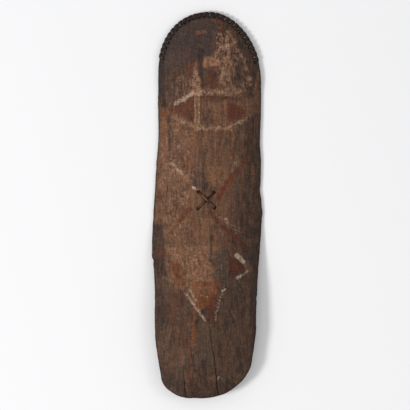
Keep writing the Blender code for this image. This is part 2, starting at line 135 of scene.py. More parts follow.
# Adze cuts behind: length and width, the share of the length over which they stop, the powers of
# their deepening and of their cosine, and their greatest depth over the named one
CUT_LENGTH, CUT_WIDTH, CUT_STOP = 0.052, 0.034, 0.10
CUT_DEEPENING, CUT_HOLLOW, CUT_GREATEST = 1.3, 0.6, 1.1
# Behind: shares of the cuts and of the roughness, and what is left of both on the strips
CUT_SHARE, ROUGH_SHARE, STRIP_LEFT, STRIP_FADE = 0.8, 0.15, 0.12, 0.12

RIM_HOLE_DIAMETER = 0.0074
RIM_HOLE_INSET = 0.0140
STITCH_PITCH = 0.0225
LACED_LEFT, LACED_RIGHT = 0.1760, 0.1900
LACE_THICKNESS, LACE_WIDTH, LACE_ROUND = 0.0034, 0.0160, 0.0058
# How far the strand hangs behind the board, and the room for it under the laced end: its height,
# the length over which the board rises by it, and how far below the lacing the rise is complete
LACE_BEND = 0.65 * LACE_THICKNESS + GAP
LACE_ROOM = LACE_BEND + 0.35 * LACE_ROUND + 3 * GAP
LACE_ROOM_SLOPE, LACE_ROOM_MARGIN = 0.0700, 0.0660
WARP_POWER = 1.5
LACE_TAIL = 0.0240

CROSS_MIDDLE = np.array([-0.0033, 0.0169])
CROSS_SPACING = np.array([0.0624, 0.0632])
CROSS_HOLES = np.array([(-0.484, 0.518), (0.484, 0.482), (-0.516, -0.524), (0.516, -0.476)])
CORD_DIAMETER = 0.0065
# In front the strand leaves each hole this share of the hole's width from its middle, is raised
# where it crosses the other run, over this share of its own width, and clears the board by this
# many gaps. A direction is level enough to start the frames if it rises less than a share
RUN_MARGIN, HUMP_REACH, RUN_GAPS, LEVEL_LIMIT = 1.3, 3.4, 1.5, 0.8
# Knot: the tail's bend as a share of its depth, how far out the winding comes in, as a share of the
# strand's width, and where it meets the tail, as a share of the tail's length
TAIL_BEND, WINDING_OUT, WINDING_AT = 0.95, 1.4, 0.36
CROSS_HOLE_DIAMETER = 0.0096
LOOP_CLEARANCE = 0.0048
KNOT_TURNS, KNOT_STEPS, TAIL_LENGTH = 2, 9, 0.0330
BEND_DEGREES = (0.0, 35.0, 65.0, 90.0)
RUN_PLACES, LOOP_PLACES, HALF_LOOP_PLACES = 9, 11, 6
# The crossing strand's round ends, its flutes as sides, size and twist, and the height over its
# middle, as a share of its radius, from which its top is rubbed and gets a painted highlight
CORD_END_ROUND = 0.0022
CORD_FLUTES = ((7, 0.022, 30.0), (3, 0.015, -12.0))
CORD_RUB_AND_HIGHLIGHT_FROM = 0.72
# The rim strand's section: how much of its height stays between the split fibres, half their number,
# and the width of the crown's painted highlight as a share of half the strand
FIBRE_LEFT, FIBRE_HALF_COUNT, HIGHLIGHT_WIDTH = 0.74, 2.5, 0.44
STITCH_WIDTHS = (0.93, 1.05)

# A hole from behind to the front: the face that a level counts from, its height and its flare
HOLE_PROFILE = (("back", -0.006, 0.0034), ("back", 0.0, 0.0006), ("back", 0.0016, 0.0),
                ("front", -0.0024, 0.0), ("front", 0.0, 0.0012), ("front", 0.006, 0.0048))

# Cracks up from the foot: rows of x, height over the foot and width, from the tip down
MAIN_CRACK = ((0.0110, 0.2600, 0.0), (0.0130, 0.2326, 0.0014), (0.0265, 0.1628, 0.0022),
              (0.0382, 0.0500, 0.0028), (0.0425, 0.0020, 0.0042), (0.0442, -0.0090, 0.0055))
SIDE_CRACK = ((-0.0925, 0.1210, 0.0), (-0.0890, 0.0750, 0.0014), (-0.0839, 0.0020, 0.0026),
              (-0.0834, -0.0090, 0.0030))
# A crack from deep to high: height over the face, share of the width and shift to the side
CRACK_PROFILE = ((-0.060, 0.24, -0.0130), (-0.016, 0.30, -0.0045), (0.0, 1.0, 0.0), (0.030, 2.2, 0.010))
CRACK_LEAST, CRACK_STEPS, CRACK_LINE_STEPS = 0.00012, 16, 8

# Painted shade round and in the holes and in the cracks, and painted shadow along the crossing
# strand: where it starts to fall, over what distance it is gone, and its strength
HOLE_SHADE = (0.0048, 0.0036, 1.0)
STRAND_SHADOW = (0.0030, 0.0036, 0.55)
CRACK_SHADE = (0.0, 0.005, 0.6)
# How far the grease of the hand reaches from the grip, across and along
HANDLED_REACH = (0.085, 0.13)
# Distances to the edge are taken from every fourth point of the outline
OUTLINE_STEP = 4
# Other lengths of the finish: the blend between the sides, the painted shade inside holes and
# cracks, the dirt in from the laced rim and the length over which it fades, and the dark line along the edge
SIDE_BLEND, HOLE_SHADE_DEPTH, RIM_DIRT, RIM_DIRT_FADE, EDGE_DARK = 0.004, 0.002, 0.028, 0.013, 0.012

# The painted pattern is set down in pixels of the picture's frame, seen from straight above: a
# pixel's size, the frame's, the pixel under the camera and the one at the board's middle
PIXEL = 0.003876
PICTURE_SIZE = 410
PICTURE_CENTRE = (205.0, 205.0)
PICTURE_MIDDLE = (207.15, 204.5)

# Strokes by pigment: strength, width and softness in pixels, and the points of the line
STROKES = {
    "white": {
        "band, left line": (0.62, 4.6, 2.6, (175, 103), (183, 99.4), (192, 93.8)),
        "band, left upright": (0.54, 1.6, 1.4, (195, 96), (194.8, 122)),
        "band, right upright": (0.54, 1.6, 1.4, (199.2, 88), (199, 125)),
        "band, top edge cream": (0.34, 3, 2.8, (203, 91), (219, 92), (226, 92)),
        "band, right top line": (0.22, 2, 1.8, (226.5, 100.8), (241.5, 102.6)),
        "band, right tip line": (0.22, 2.6, 2.4, (242, 105), (248.5, 113.3), (254, 113.2)),
        "band, left fleck": (0.34, 3.4, 2.4, (173, 117), (177, 119)),
        "band, lower left cream": (0.32, 3, 2.6, (179, 117.6), (188, 123.4), (196, 128)),
        "band, lower edge": (0.33, 4.4, 2.2, (198, 127.6), (206, 128), (216, 128)),
        "band, lower right line": (0.42, 3.6, 2.2, (228, 128.2), (233, 125.2), (240, 121.3)),
        "band, lower right end": (0.3, 2.8, 2.2, (240, 121.5), (248, 117), (254, 113.6)),
        "cross, upper left line": (0.56, 3.4, 2.2, (171, 163.6), (176, 168), (183, 174)),
        "cross, upper left line going on": (0.24, 3.6, 3, (183, 174), (190, 181)),
        "cross, upper left dab": (0.7, 2.8, 1.2, (192.8, 187.4), (194.6, 188.4)),
        "cross, upper left second dab": (0.62, 2.6, 1.6, (196.4, 187.6), (198.2, 189)),
        "cross, upper left speckles": (0.2, 4.4, 2.6, (192.6, 181), (194, 186)),
        "cross, lower left dots": (0.62, 1.5, 1, (174.8, 235.2), (176.2, 235.6)),
        "cross, lower right white": (0.31, 6.4, 3, (227, 219.6), (234, 227.4), (239, 234.5)),
        "cross, lower right white end": (0.2, 5, 3.4, (239, 234), (247, 241)),
        "cross, lower right spot": (0.7, 1.8, 1.2, (226, 218.2), (227.4, 218.8)),
        "cross, lower right near line": (0.3, 2.2, 1.8, (216.6, 211), (218.6, 217), (223, 221)),
        "right arrow, upper arm": (0.74, 4.6, 2.4, (236, 255.4), (239.4, 258.4), (243, 262.5)),
        "right arrow, middle": (0.38, 3.2, 2.4, (243, 262.5), (247.4, 267.4), (247.6, 271)),
        "right arrow, lower arm": (0.48, 3.8, 2.2, (247.6, 271), (244, 274.4), (240, 276.4)),
        "right arrow, lower end": (0.72, 3, 1.6, (240.2, 276.4), (237, 278)),
        "left arrow, line": (0.42, 1.5, 1.4, (160, 275), (164.5, 277.8), (172, 281.6)),
        "middle upright, near line": (0.36, 1.8, 1.6, (221, 250), (220.8, 262), (222.4, 276)),
        "middle upright, far line": (0.28, 1.6, 1.6, (225, 248), (227.6, 258), (227.6, 275)),
        "middle upright, foot": (0.26, 1.6, 1.4, (229, 283), (236, 279.6)),
        "left point, outer line": (0.62, 3, 2, (185.6, 293), (190, 299), (196, 307.5)),
        "left point, outer line end": (0.62, 2.6, 2.2, (196, 307.5), (199.4, 312), (204, 318)),
        "left point, inner line": (0.58, 2.6, 2.2, (189, 288), (191.4, 292.6), (195.4, 300)),
        "left point, blue end": (0.46, 3, 2, (200, 311), (205.6, 320)),
        "left point, tail": (0.3, 1.4, 1.2, (205, 320), (210.6, 327)),
        "right point, line": (0.42, 3.4, 2, (222.6, 291), (219.8, 298), (217.8, 306), (215.8, 319)),
        "right point, tick": (0.85, 1.7, 1, (221.2, 290), (225.4, 288.6)),
        "right point, side line": (0.22, 2, 1.8, (224.4, 285), (222.6, 300), (219.6, 312)),
        "right scratch": (0.36, 1.6, 1.4, (238.8, 280), (239.4, 290)),
        "point, little arc": (0.7, 1, 0.8, (200.6, 295), (203.6, 296.2), (207.6, 296.2)),
        "foot, little mark left": (0.7, 1.1, 0.8, (217.4, 378.4), (219.2, 375)),
        "foot, little mark right": (0.6, 1, 0.8, (219.2, 375), (222, 377.4)),
        "foot, sliver": (0.56, 0.9, 0.7, (186, 386), (186.4, 390)),
        "head, pink patch": (0.56, 2, 1.4, (227, 46), (228.4, 51.4)),
        "head, second pink patch": (0.34, 3.4, 2.6, (225.6, 72), (227.6, 80)),
    },
    "ochre": {
        "band, left line going on": (0.75, 4.5, 2.6, (190, 95), (197, 88), (199, 79)),
        "band, left upright ground": (0.84, 5, 2.4, (197.3, 84), (197.2, 126)),
        "band, top edge": (0.45, 6, 4, (202, 91.5), (239, 92.5)),
        "band, lower left line": (0.8, 4, 2.4, (172, 115.5), (186, 121.5), (196, 127.8)),
        "band, lower edge going on": (0.66, 5, 2.8, (196, 127.8), (228, 128.6)),
        "band, upright by the red": (0.46, 3.6, 2.2, (225.2, 101), (225, 126)),
        "cross, upper left ochre": (0.66, 5.4, 3.2, (176, 168), (190, 182)),
        "cross, lower left line": (0.55, 3.6, 2.6, (190, 219), (182, 222.5), (175, 231)),
        "left point, ochre between": (0.85, 4, 2.2, (190, 295), (195.6, 303.6), (200, 310.6)),
        "foot, yellow scratch": (0.8, 1.1, 0.9, (231, 311.2), (234, 316)),
        "foot, faint scratch": (0.4, 1, 0.9, (228, 336), (233.8, 354)),
        "head, pale smear": (0.62, 3.6, 2.6, (196.4, 33.4), (204.4, 31.6)),
        "left streak, upper": (0.56, 3.6, 3.2, (163.8, 116), (164.6, 128), (164.8, 140)),
        "left streak, lower": (0.56, 3.6, 3.2, (165, 140), (165, 154), (163.4, 167)),
    },
    "orange": {
        "band, left tip": (0.85, 4, 2.4, (162, 112.6), (167, 114.5)),
        "band, left tip going on": (0.5, 4, 2.6, (165, 113), (172, 113.4)),
        "cross, upper right bright": (0.92, 5.6, 3.6, (233, 177), (226, 186), (219.6, 194)),
        "cross, lower left bright": (0.9, 5.4, 3.6, (188, 211), (178.6, 221)),
        "cross, lower left orange": (0.45, 5, 3, (169, 227), (173, 237)),
        "head, orange smear": (0.44, 3, 2.4, (197.5, 32.8), (203, 31.8)),
        "head, orange spot": (0.85, 2.4, 1.6, (218, 20), (220.6, 20.2)),
        "head, second orange spot": (0.8, 2.4, 1.8, (219, 27.2), (220.8, 27.6)),
        "head, small orange bits": (0.42, 4, 2.6, (214, 20), (222, 24)),
        "head, red ring": (0.85, 2.2, 1.2, (209.6, 78), (211.6, 80)),
        "head, orange patch": (0.66, 3.4, 2.4, (195, 63), (196.6, 68)),
        "head, orange over the dark": (0.5, 5, 3, (204, 63.5), (214, 61)),
        "head, right streak": (0.62, 1.8, 1.6, (256.4, 82), (257.4, 92)),
        "head, right streak going on": (0.34, 2.2, 1.8, (257, 92), (257.6, 126)),
        "left streak, orange": (0.42, 3.6, 3, (164.6, 116), (165, 156)),
        "middle, ochre spot": (0.46, 5, 3.6, (196.2, 136), (197.6, 142)),
        "middle, second ochre spot": (0.36, 5, 3.4, (204, 149), (206.4, 152)),
        "edge, orange spot": (0.4, 4, 3, (158.8, 190), (161, 197)),
        "edge, orange scratch": (0.5, 1.4, 1.2, (167.4, 191.6), (171.4, 188)),
        "point, orange spot": (0.76, 4.2, 3, (193.6, 330), (194, 340)),
        "point, orange streak": (0.4, 4.4, 3.4, (195, 300), (194.4, 330)),
        "point, orange crossing": (0.4, 3, 2.6, (184, 346.6), (196, 343)),
    },
    "red": {
        "band, thin red line": (0.66, 2, 1.8, (200, 96.4), (214, 96.8), (228, 97.2), (240, 99)),
        "band, red over the top": (0.4, 4.6, 2.6, (203, 97.4), (220, 98.6), (240, 101)),
        "cross, upper right red": (0.62, 6, 3.2, (241, 167), (233, 176.5), (226, 186), (219, 196)),
        "cross, upper right red end": (0.52, 4.6, 3, (247, 160), (240, 168)),
        "cross, upper right faint": (0.3, 6, 3.4, (219, 196), (217, 206)),
        "cross, lower left red": (0.58, 6.4, 3.6, (190, 209.5), (184, 214), (178.6, 221)),
        "cross, lower left red end": (0.46, 5, 3.4, (178.6, 221), (171.5, 233)),
        "cross, lower right red": (0.62, 3.8, 2.4, (207.6, 206), (211, 213), (216, 219.6), (224, 228)),
        "cross, lower right red end": (0.74, 4.2, 2.2, (224, 228), (233, 235), (240, 241), (245, 246)),
        "cross, lower right red tail": (0.4, 4, 2.6, (244, 245), (250, 250)),
        "cross, lower right thin red": (0.46, 1.8, 1.4, (229.4, 222), (230.8, 231)),
        "foot, brown streak": (0.34, 5, 3.6, (249, 335), (250.4, 372)),
        "foot, red streak": (0.36, 5, 3.4, (189.4, 340), (190.8, 392)),
    },
    "olive": {
        "cross, upper left olive": (0.8, 6, 2.4, (193, 179), (195.5, 186)),
        "foot, light line by the crack": (0.85, 2, 1.4, (212.6, 341), (216.4, 357), (218.4, 371)),
    },
    "soot": {
        "band, panel's dark edge": (0.4, 1.8, 1.4, (221.8, 108), (221.8, 124)),
        "middle, dark upright": (0.56, 2.2, 1.6, (201.8, 130), (202.3, 146)),
        "middle, dark blotch": (0.42, 5, 3.4, (227, 141), (230.4, 150)),
        "cross, dark streak": (0.5, 3.6, 2.6, (203.6, 152), (203.8, 172), (204.4, 190)),
        "cross, dark corner": (0.5, 4, 2.6, (204, 180), (208, 187), (212, 192)),
        "left dark streak": (0.6, 3.6, 2.4, (168.6, 118), (169.6, 132), (169.4, 146)),
        "middle, green streak": (0.56, 3.2, 2, (211.6, 236), (211, 246), (211, 261)),
        "middle, dark fleck": (0.5, 2.4, 2, (199.6, 260), (200.4, 266)),
        "left point, dark line": (0.62, 3.6, 2, (203, 309), (208.4, 319.4)),
        "left point, dark patch": (0.5, 4.6, 3, (181, 290), (181.6, 302)),
        "foot, dark dashes": (0.74, 3.4, 2.2, (192.6, 355), (195.4, 370)),
        "foot, blue streak": (0.58, 5.4, 3.6, (203.4, 360), (205.6, 384)),
        "foot, blue blotch": (0.5, 5.6, 3.6, (237.6, 349), (241, 372)),
        "crack, faint upper part": (0.85, 1, 0.8, (208.6, 297), (209.6, 318), (210.2, 331)),
    },
}

# Areas by pigment: strength and softness in pixels, and the corners
AREAS = {
    "white": {
        "cross, upper right white": (0.36, 3, (235, 159), (240, 160), (237, 168), (232.6, 175),
            (230.4, 168)),
        "left light bits' middle": (0.26, 4, (170, 254), (174, 254), (173, 263), (171, 262)),
    },
    "ochre": {
        "band, panel's light": (0.3, 5, (202, 102), (222, 102), (222, 125), (202, 125)),
        "head, worn right": (0.18, 7, (214, 29), (228, 38), (240, 48), (252, 62), (258, 80), (256, 92),
            (240, 95), (226, 93), (213, 74), (216, 50)),
        "head, worn middle": (0.8, 3.2, (203.6, 57), (213, 55), (219, 60), (219.6, 66), (206.5, 67.5),
            (203, 64)),
        "head, worn upright": (0.84, 4, (220, 56), (228, 56), (229.6, 80), (224, 84), (220.6, 70)),
        "head, worn corner": (0.5, 3.4, (189, 93), (194, 80), (201.4, 79), (201, 94), (196, 97)),
        "head, worn lower": (0.34, 5, (203, 83), (244, 84), (243, 97), (203, 98)),
        "cross, light field": (0.46, 3.4, (208, 164), (226, 166), (228, 178), (221, 186), (213, 187.6),
            (208, 180)),
        "left field": (0.3, 9, (155, 165), (176, 176), (190, 194), (188, 206), (172, 222), (153, 222)),
        "cross, ochre under the middle": (0.4, 3.4, (203, 219), (208.6, 218), (209, 236), (203, 238)),
        "middle, ochre strip": (0.52, 3.6, (168, 247.6), (200, 246), (222, 247), (213, 254), (190, 255),
            (170, 256)),
        "middle, ochre field": (0.66, 4, (186, 255.4), (211.6, 255.6), (212, 280), (200, 290), (192, 292),
            (186, 288), (185.4, 270)),
        "left light bits": (0.56, 4, (170, 250), (182, 249), (181, 266), (172, 262)),
        "point, ochre band": (1, 3.4, (189, 286.4), (210.6, 286.4), (208.6, 295), (193, 296)),
        "point, ochre left": (0.58, 3.4, (184, 280), (193, 280), (194, 292), (202, 311), (197, 312),
            (187, 298)),
        "foot, light left": (0.16, 8, (160, 340), (184, 346), (186, 372), (168, 366)),
    },
    "orange": {
        "band, left red's light": (0.38, 4, (172, 108.4), (194, 99), (194, 121), (184, 116)),
        "cross, upper left warm": (0.24, 5, (176, 152), (192, 156), (197, 172), (184, 172)),
        "left red field": (0.66, 4, (171, 262), (180, 262), (183, 274), (184, 285), (175, 284.6),
            (172, 272)),
        "point, orange band": (0.8, 3.2, (191, 281), (219.4, 281), (219, 286.4), (191, 287)),
        "point, orange field": (0.8, 4, (194.4, 293.6), (217.4, 289), (216.6, 300), (209, 306),
            (201.4, 308), (196, 301)),
        "point, light orange": (0.5, 4, (191.4, 287), (218, 287), (217.4, 295), (194.4, 296)),
    },
    "red": {
        "band, left red": (0.56, 3.6, (168, 109.4), (194.2, 98.4), (194.2, 122.6), (184, 117.4)),
        "band, right red": (0.8, 3.8, (227, 102), (242, 105.4), (246, 112), (240, 119), (228, 123)),
        "head, brown-red": (0.46, 3.4, (208.4, 66), (218.6, 65), (221, 90), (203, 91)),
        "head, brown streaks": (0.26, 7, (176, 46), (196, 50), (192, 90), (170, 98), (170, 66)),
        "cross, upper left red": (0.4, 4.5, (174, 150), (186, 152), (196, 166), (197, 176), (188, 174),
            (178, 163)),
        "cross, left reddish": (0.22, 8, (172, 186), (198, 190), (200, 226), (190, 240), (172, 226)),
        "left margin, red brown": (0.4, 4, (156, 246), (166, 246), (168, 258), (156, 260)),
        "left red field's dark": (0.46, 4, (171, 262), (181, 264), (183, 280), (174, 276)),
        "right arrow, red": (0.66, 2.6, (228.8, 256), (234.4, 258.4), (246, 267.4), (238, 273.6),
            (229.4, 277)),
        "point, red in the band": (0.4, 3, (201, 282), (219, 282), (219, 285.4), (201, 285.4)),
        "point, red field": (0.74, 3.6, (209, 297), (216.8, 295), (214.6, 318.6), (211.4, 321),
            (207, 314)),
        "foot, left streaks": (0.32, 6, (166, 287), (182, 292), (192, 316), (190, 350), (178, 346),
            (166, 318)),
    },
    "olive": {
        "band, middle panel": (0.16, 3, (201, 101.4), (222.6, 101.4), (222.8, 125.4), (201, 125.4)),
        "head, olive by the red": (0.7, 3, (203, 68), (208.4, 66), (207.4, 82), (203, 80)),
        "right of the band, olive": (0.1, 7, (236, 126), (258, 124), (256, 200), (238, 160)),
        "middle upright": (0.78, 3, (213.2, 248.6), (228, 251), (229, 282), (222, 292), (214.4, 281)),
        "under the point": (0.7, 4, (199.4, 319), (210, 324), (220, 330), (220, 361), (208, 374),
            (199.6, 366)),
        "right field, olive": (0.4, 6, (224, 196), (248, 180), (258, 200), (256, 236), (244, 226),
            (228, 212)),
        "foot, right olive": (0.42, 8, (222, 282), (250, 280), (248, 340), (240, 384), (222, 388),
            (220, 340), (218, 310)),
    },
    "smoke": {
        "head, cool": (0.72, 12, (158, 50), (176, 22), (206, 12), (224, 20), (216, 34), (214, 56),
            (196, 60), (172, 70), (158, 90)),
        "cross, upper left grey": (0.5, 4.5, (191, 172), (203, 168), (209, 186), (206, 192), (198, 188),
            (190, 182)),
    },
    "soot": {
        "band, right red's dark": (0.3, 4, (229, 104), (244, 106), (243, 116), (230, 121)),
        "head, dark upright": (0.66, 3, (197, 47), (204, 49), (203.4, 63), (202, 80), (198.4, 80),
            (198.4, 62)),
        "head, dark margin": (0.6, 5, (158, 60), (165, 60), (165, 90), (169, 110), (160, 106),
            (157, 95)),
        "head, dark right": (0.55, 4, (245, 84), (255, 84), (256, 97), (247, 97)),
        "head, dark right margin": (0.6, 6, (234, 30), (246, 42), (258, 70), (260, 90), (252, 80),
            (240, 52)),
        "head, dark spots": (0.44, 7, (220, 50), (236, 48), (248, 66), (246, 86), (232, 84), (230, 64)),
        "right of the band": (0.5, 6, (246, 119), (259, 110), (259, 170), (248, 165)),
        "cross, dark under the middle": (0.34, 4.5, (210, 222), (219, 226), (223, 240), (214, 246),
            (208, 244)),
        "left margin": (0.66, 4.5, (152, 224), (163, 224), (166, 244), (164.6, 262), (168, 276), (158, 278),
            (152, 262)),
        "right arrow, dark red": (0.66, 3, (228.8, 256), (246, 267), (238, 274), (229.4, 277)),
        "point, dark field": (0.58, 3, (203, 300), (208.6, 299), (208.8, 318), (204.6, 312)),
        "foot, left dark": (0.46, 6, (154, 287), (164, 288), (168, 320), (164, 342), (155, 322)),
        "foot, dark corner": (0.5, 5, (158, 366), (168, 368), (178, 390), (166, 386)),
        "foot, dark below": (0.32, 7, (176, 378), (230, 380), (240, 388), (210, 398), (182, 398)),
        # Darker along the right margin: partly dark wood, partly painted shade where the face turns from the
        # light
        "right margin": (0.56, 4, (251.5, 228), (262, 228), (262, 352), (251.5, 352), (249.5, 300)),
        # The same darkening higher up the right margin: partly dark wood, partly painted shade
        "right margin, upper": (0.42, 4, (254, 120), (262, 120), (262, 230), (256, 230)),
        "right field": (0.26, 9, (232, 198), (252, 186), (252, 248), (236, 216)),
        "cross, dark lower right": (0.3, 6, (220, 216), (250, 238), (250, 252), (236, 250), (222, 236)),
    },
    "flake": {
        "head, flaking right": (0.36, 9, (216, 30), (230, 30), (246, 50), (256, 78), (256, 92), (240, 97),
            (218, 96), (214, 74), (212, 54)),
        "head, flaking middle": (0.5, 4, (203, 58), (216, 55), (224, 60), (228, 84), (221, 86),
            (219, 66), (203, 68)),
        "head, flaking corner": (0.48, 4, (190, 94), (193, 66), (198, 60), (199, 80), (203, 92),
            (202, 98)),
        "head, flaking patch": (0.54, 3.5, (224, 42), (230, 42), (231, 54), (226, 56), (222, 50)),
        "head, flaking upper patch": (0.46, 4, (213, 32), (226, 32), (231, 41), (218, 40)),
        "head, flaking left": (0.24, 8, (170, 76), (192, 70), (194, 100), (172, 100)),
        "band, flaking over": (0.44, 3.4, (203, 88), (240, 89), (244, 96), (203, 96)),
        "band, flaking below": (0.36, 3.4, (170, 113), (196, 124), (232, 124), (252, 112), (254, 116),
            (232, 132), (196, 131), (170, 118)),
        "left, flaking": (0.26, 9, (160, 110), (190, 124), (196, 180), (180, 240), (160, 240),
            (156, 170)),
        "low, flaking": (0.26, 7, (166, 244), (214, 244), (216, 256), (214, 292), (190, 300), (168, 286)),
        "middle, pale middle": (0.3, 5, (188, 260), (208, 258), (208, 278), (190, 284)),
    },
}

# How light the bare wood is: value from 0 to 1, softness in pixels, and the corners of the zone
TONES = {
    "head": (0.18, 9.0, (150, 5), (265, 5), (265, 50), (212, 58), (190, 52), (150, 60)),
    "head, brown": (0.30, 8.0, (150, 58), (196, 52), (262, 52), (262, 96), (150, 104)),
    "band": (0.58, 7.0, (156, 100), (246, 98), (250, 112), (246, 128), (156, 132)),
    "left field": (0.84, 12.0, (155, 118), (206, 126), (206, 244), (166, 250), (154, 216)),
    "middle field": (0.60, 12.0, (204, 126), (240, 128), (236, 196), (226, 246), (204, 246)),
    "right field": (0.20, 10.0, (240, 118), (262, 108), (262, 252), (228, 250), (234, 196)),
    "middle, low": (0.70, 9.0, (168, 243), (214, 243), (213, 292), (196, 298), (172, 286)),
    "right, low": (0.15, 10.0, (220, 248), (262, 248), (262, 360), (222, 360)),
    "foot, left": (0.30, 10.0, (153, 284), (200, 292), (200, 376), (160, 372)),
    "foot, middle": (0.26, 10.0, (196, 318), (222, 318), (222, 372), (198, 372)),
    "foot": (0.18, 10.0, (155, 370), (255, 362), (245, 402), (165, 402)),
}
TONE_BETWEEN, TONE_BETWEEN_WEIGHT, TONE_SPREAD = 0.02, 0.05, 2.2

# How the painted lines wander: size across and along, swing and the first of two seeds
WANDER = ((0.0120, 0.0200, 0.0024, 31), (0.0048, 0.0075, 0.0012, 33), (0.0400, 0.0550, 0.0022, 35))

# Streaks of the wood: width and length in mm, and levels of detail
GRAIN = {
    "pore": (0.9, 34.0, 3.0),
    "hair": (1.1, 26.0, 3.0),
    "fibre": (2.6, 85.0, 4.0),
    "line": (5.2, 50.0, 4.0),
    "blot": (6.4, 9.0, 3.0),
    "band": (9.0, 170.0, 4.0),
    "clumps": (13.0, 20.0, 5.0),
    "mottle": (17.0, 42.0, 5.0),
    "cross": (17.0, 5.0, 3.0),
    "warm": (42.0, 110.0, 5.0),
    "cool": (34.0, 120.0, 5.0),
}
# The streak that bends all the others to the side, and how far it does so
BEND_GRAIN = (40.0, 110.0, 1.0)
GRAIN_BEND = 0.012
MM_PER_METRE = 1000.0

# Dry coats, one over another: stored cover, pigment, share, width and length of its blots in mm,
# crispness, how much the fibres shade it, and what the cover is thinned by
COATS = (
    ("olive", "olive", 0.66, 7.0, 30.0, 1.5, 0.3, 1.0),
    ("smoke", "smoke", 0.80, 9.0, 24.0, 1.3, 0.2, 1.0),
    ("ochre", "ochre", 0.62, 7.0, 16.0, 1.5, 0.3, 1.0),
    ("flake", "soot", 0.52, 8.2, 10.0, 2.4, 0.3, 1.0),
    ("flake", "flake", 0.34, 9.0, 14.0, 2.2, 0.5, "clumps"),
    ("flake", "flake", 0.60, 4.8, 6.2, 3.8, 0.6, "clumps"),
    ("soot", "soot", 0.72, 6.0, 34.0, 1.7, 0.3, 1.0),
    ("orange", "orange", 0.72, 7.0, 16.0, 1.8, 0.3, 1.0),
    ("red", "red", 0.78, 7.0, 26.0, 1.8, 0.3, 1.0),
    ("white", "white", 0.80, 3.6, 4.6, 2.8, 0.2, 0.83),
)

# Lights: name, azimuth and elevation in degrees, and the stage property that holds its power
LIGHTS = (("key_light", 196.0, 40.0, "key_power"), ("fill_light", 4.0, 42.0, "fill_power"))
LIGHT_TARGET = Vector((0.0, 0.0, 0.03))
# The face over the ground, half the floor's side, and how far the camera sees. Its film is in mm
FACE_HEIGHT = 0.040
FLOOR_REACH = 20
SIGHT_LIMIT = 100.0
FILM_WIDTH = 36.0


def colour_of(what, red, green, blue):
    """A colour property with its default."""
    return FloatVectorProperty(name=what, subtype="COLOR", size=3, min=0.0, max=1.0,
                               default=(red, green, blue))


def length_of(what, value):
    """A length property with its default, in metres."""
    return FloatProperty(name=what, default=value, min=0.0, unit="LENGTH", precision=5)


def light_of(what, value, unit="POWER"):
    """A light's power or strength with its default."""
    return FloatProperty(name=what, default=value, min=0.0, unit=unit)


class ShieldSizes(PropertyGroup):
    """Sizes of the board and its strands."""
    edge_thickness: length_of("Wood at the very edge", 0.0112)
    centre_thickness: length_of("Wood in the middle", 0.0140)
    hollow_depth: length_of("Height of the hollow behind the middle", 0.0260)
    front_rounding: length_of("Radius of the front edge", 0.0040)
    back_rounding: length_of("Radius of the back edge", 0.0030)
    warp_height: length_of("Rise of the foot end off the ground", 0.0420)
    warp_reach: length_of("The rise starts this far up from the foot", 0.7000)
    warp_slope: length_of("The rise is complete over this length", 0.4300)
    adze_depth: length_of("Depth of the tool marks in front", 0.0005)
    grain_depth: length_of("Height of the weathered grain in front", 0.00022)
    back_adze_depth: length_of("Depth of the tool marks behind", 0.0011)


class ShieldColours(PropertyGroup):
    """Colours of the wood, the pigments and the strands."""
    warm_wood: colour_of("Bare wood stained by red earth", 0.118, 0.047, 0.024)
    cool_wood: colour_of("Bare wood greyed by weather", 0.063, 0.043, 0.0315)
    flake: colour_of("Pale wood where the surface has flaked", 0.365, 0.200, 0.124)
    light_wood: colour_of("Bare wood where it is rubbed", 0.169, 0.080, 0.0430)
    dark_wood: colour_of("Bare wood where it is smoked", 0.0285, 0.0160, 0.0105)
    white: colour_of("Lime white", 0.405, 0.298, 0.222)
    ochre: colour_of("Pale earth rubbed thin", 0.225, 0.106, 0.053)
    orange: colour_of("Burnt orange earth", 0.160, 0.050, 0.017)
    red: colour_of("Red earth", 0.083, 0.0215, 0.0115)
    olive: colour_of("Grey clay", 0.069, 0.044, 0.0300)
    smoke: colour_of("Grey film of smoke", 0.047, 0.0325, 0.0305)
    soot: colour_of("Blue-black soot", 0.0175, 0.0130, 0.0120)
    back_wood: colour_of("Wood behind", 0.066, 0.036, 0.021)
    rim_strand: colour_of("Dark bark strand round the rim", 0.0320, 0.0205, 0.0155)
    # Colour of the painted highlight on the rim strand
    rim_highlight: colour_of("The rim strand where it is rubbed", 0.30, 0.225, 0.175)
    cross_strand: colour_of("Brown cane strand in the middle", 0.0360, 0.0145, 0.0065)
    # Colour of the cane's top where it is rubbed and gets a painted highlight
    cross_rub_and_highlight: colour_of("The cane where it is rubbed", 0.36, 0.20, 0.115)
    floor: colour_of("Pale floor", 0.80, 0.80, 0.81)


class ShieldStage(PropertyGroup):
    """The camera and the lights."""
    camera_height: length_of("Camera over the board's face", 7.0)
    view_height: length_of("Height of the picture on the board", PIXEL * PICTURE_SIZE)
    light_distance: length_of("Key light to the board", 14.0)
    light_size: length_of("Side of the key light", 3.3)
    key_power: light_of("Soft light from the left", 1250.0)
    fill_power: light_of("Weak light from the right", 150.0)
    sky: light_of("Even light from all round", 0.692, "NONE")


def smooth_step(t):
    """Rises from 0 to 1 with level ends, as 3 t squared less 2 t cubed."""
    t = np.clip(t, 0.0, 1.0)
    return t * t * (3.0 - 2.0 * t)


def fall(distance, start, reach):
    """Falls from 1 to 0 over a reach past a start: 1 less the smooth step of the share gone."""
    return 1.0 - smooth_step((distance - start) / reach)


def unit(ways):
    """Directions in rows, each divided by its length."""
    return ways / np.linalg.norm(ways, axis=1)[:, None]


def round_turn(sides):
    """Angles spread evenly over a full turn."""
    return 2 * np.pi * np.arange(sides) / sides


def distance_along(line):
    """Distance of each point along a line: the running sum of the stretches between points."""
    return np.concatenate([[0.0], np.cumsum(np.linalg.norm(np.diff(line, axis=0), axis=1))])


def ways_on(line):
    """The way past each point of a line: the point after it less the point before it."""
    return np.vstack([line[1:], line[-1:]]) - np.vstack([line[:1], line[:-1]])


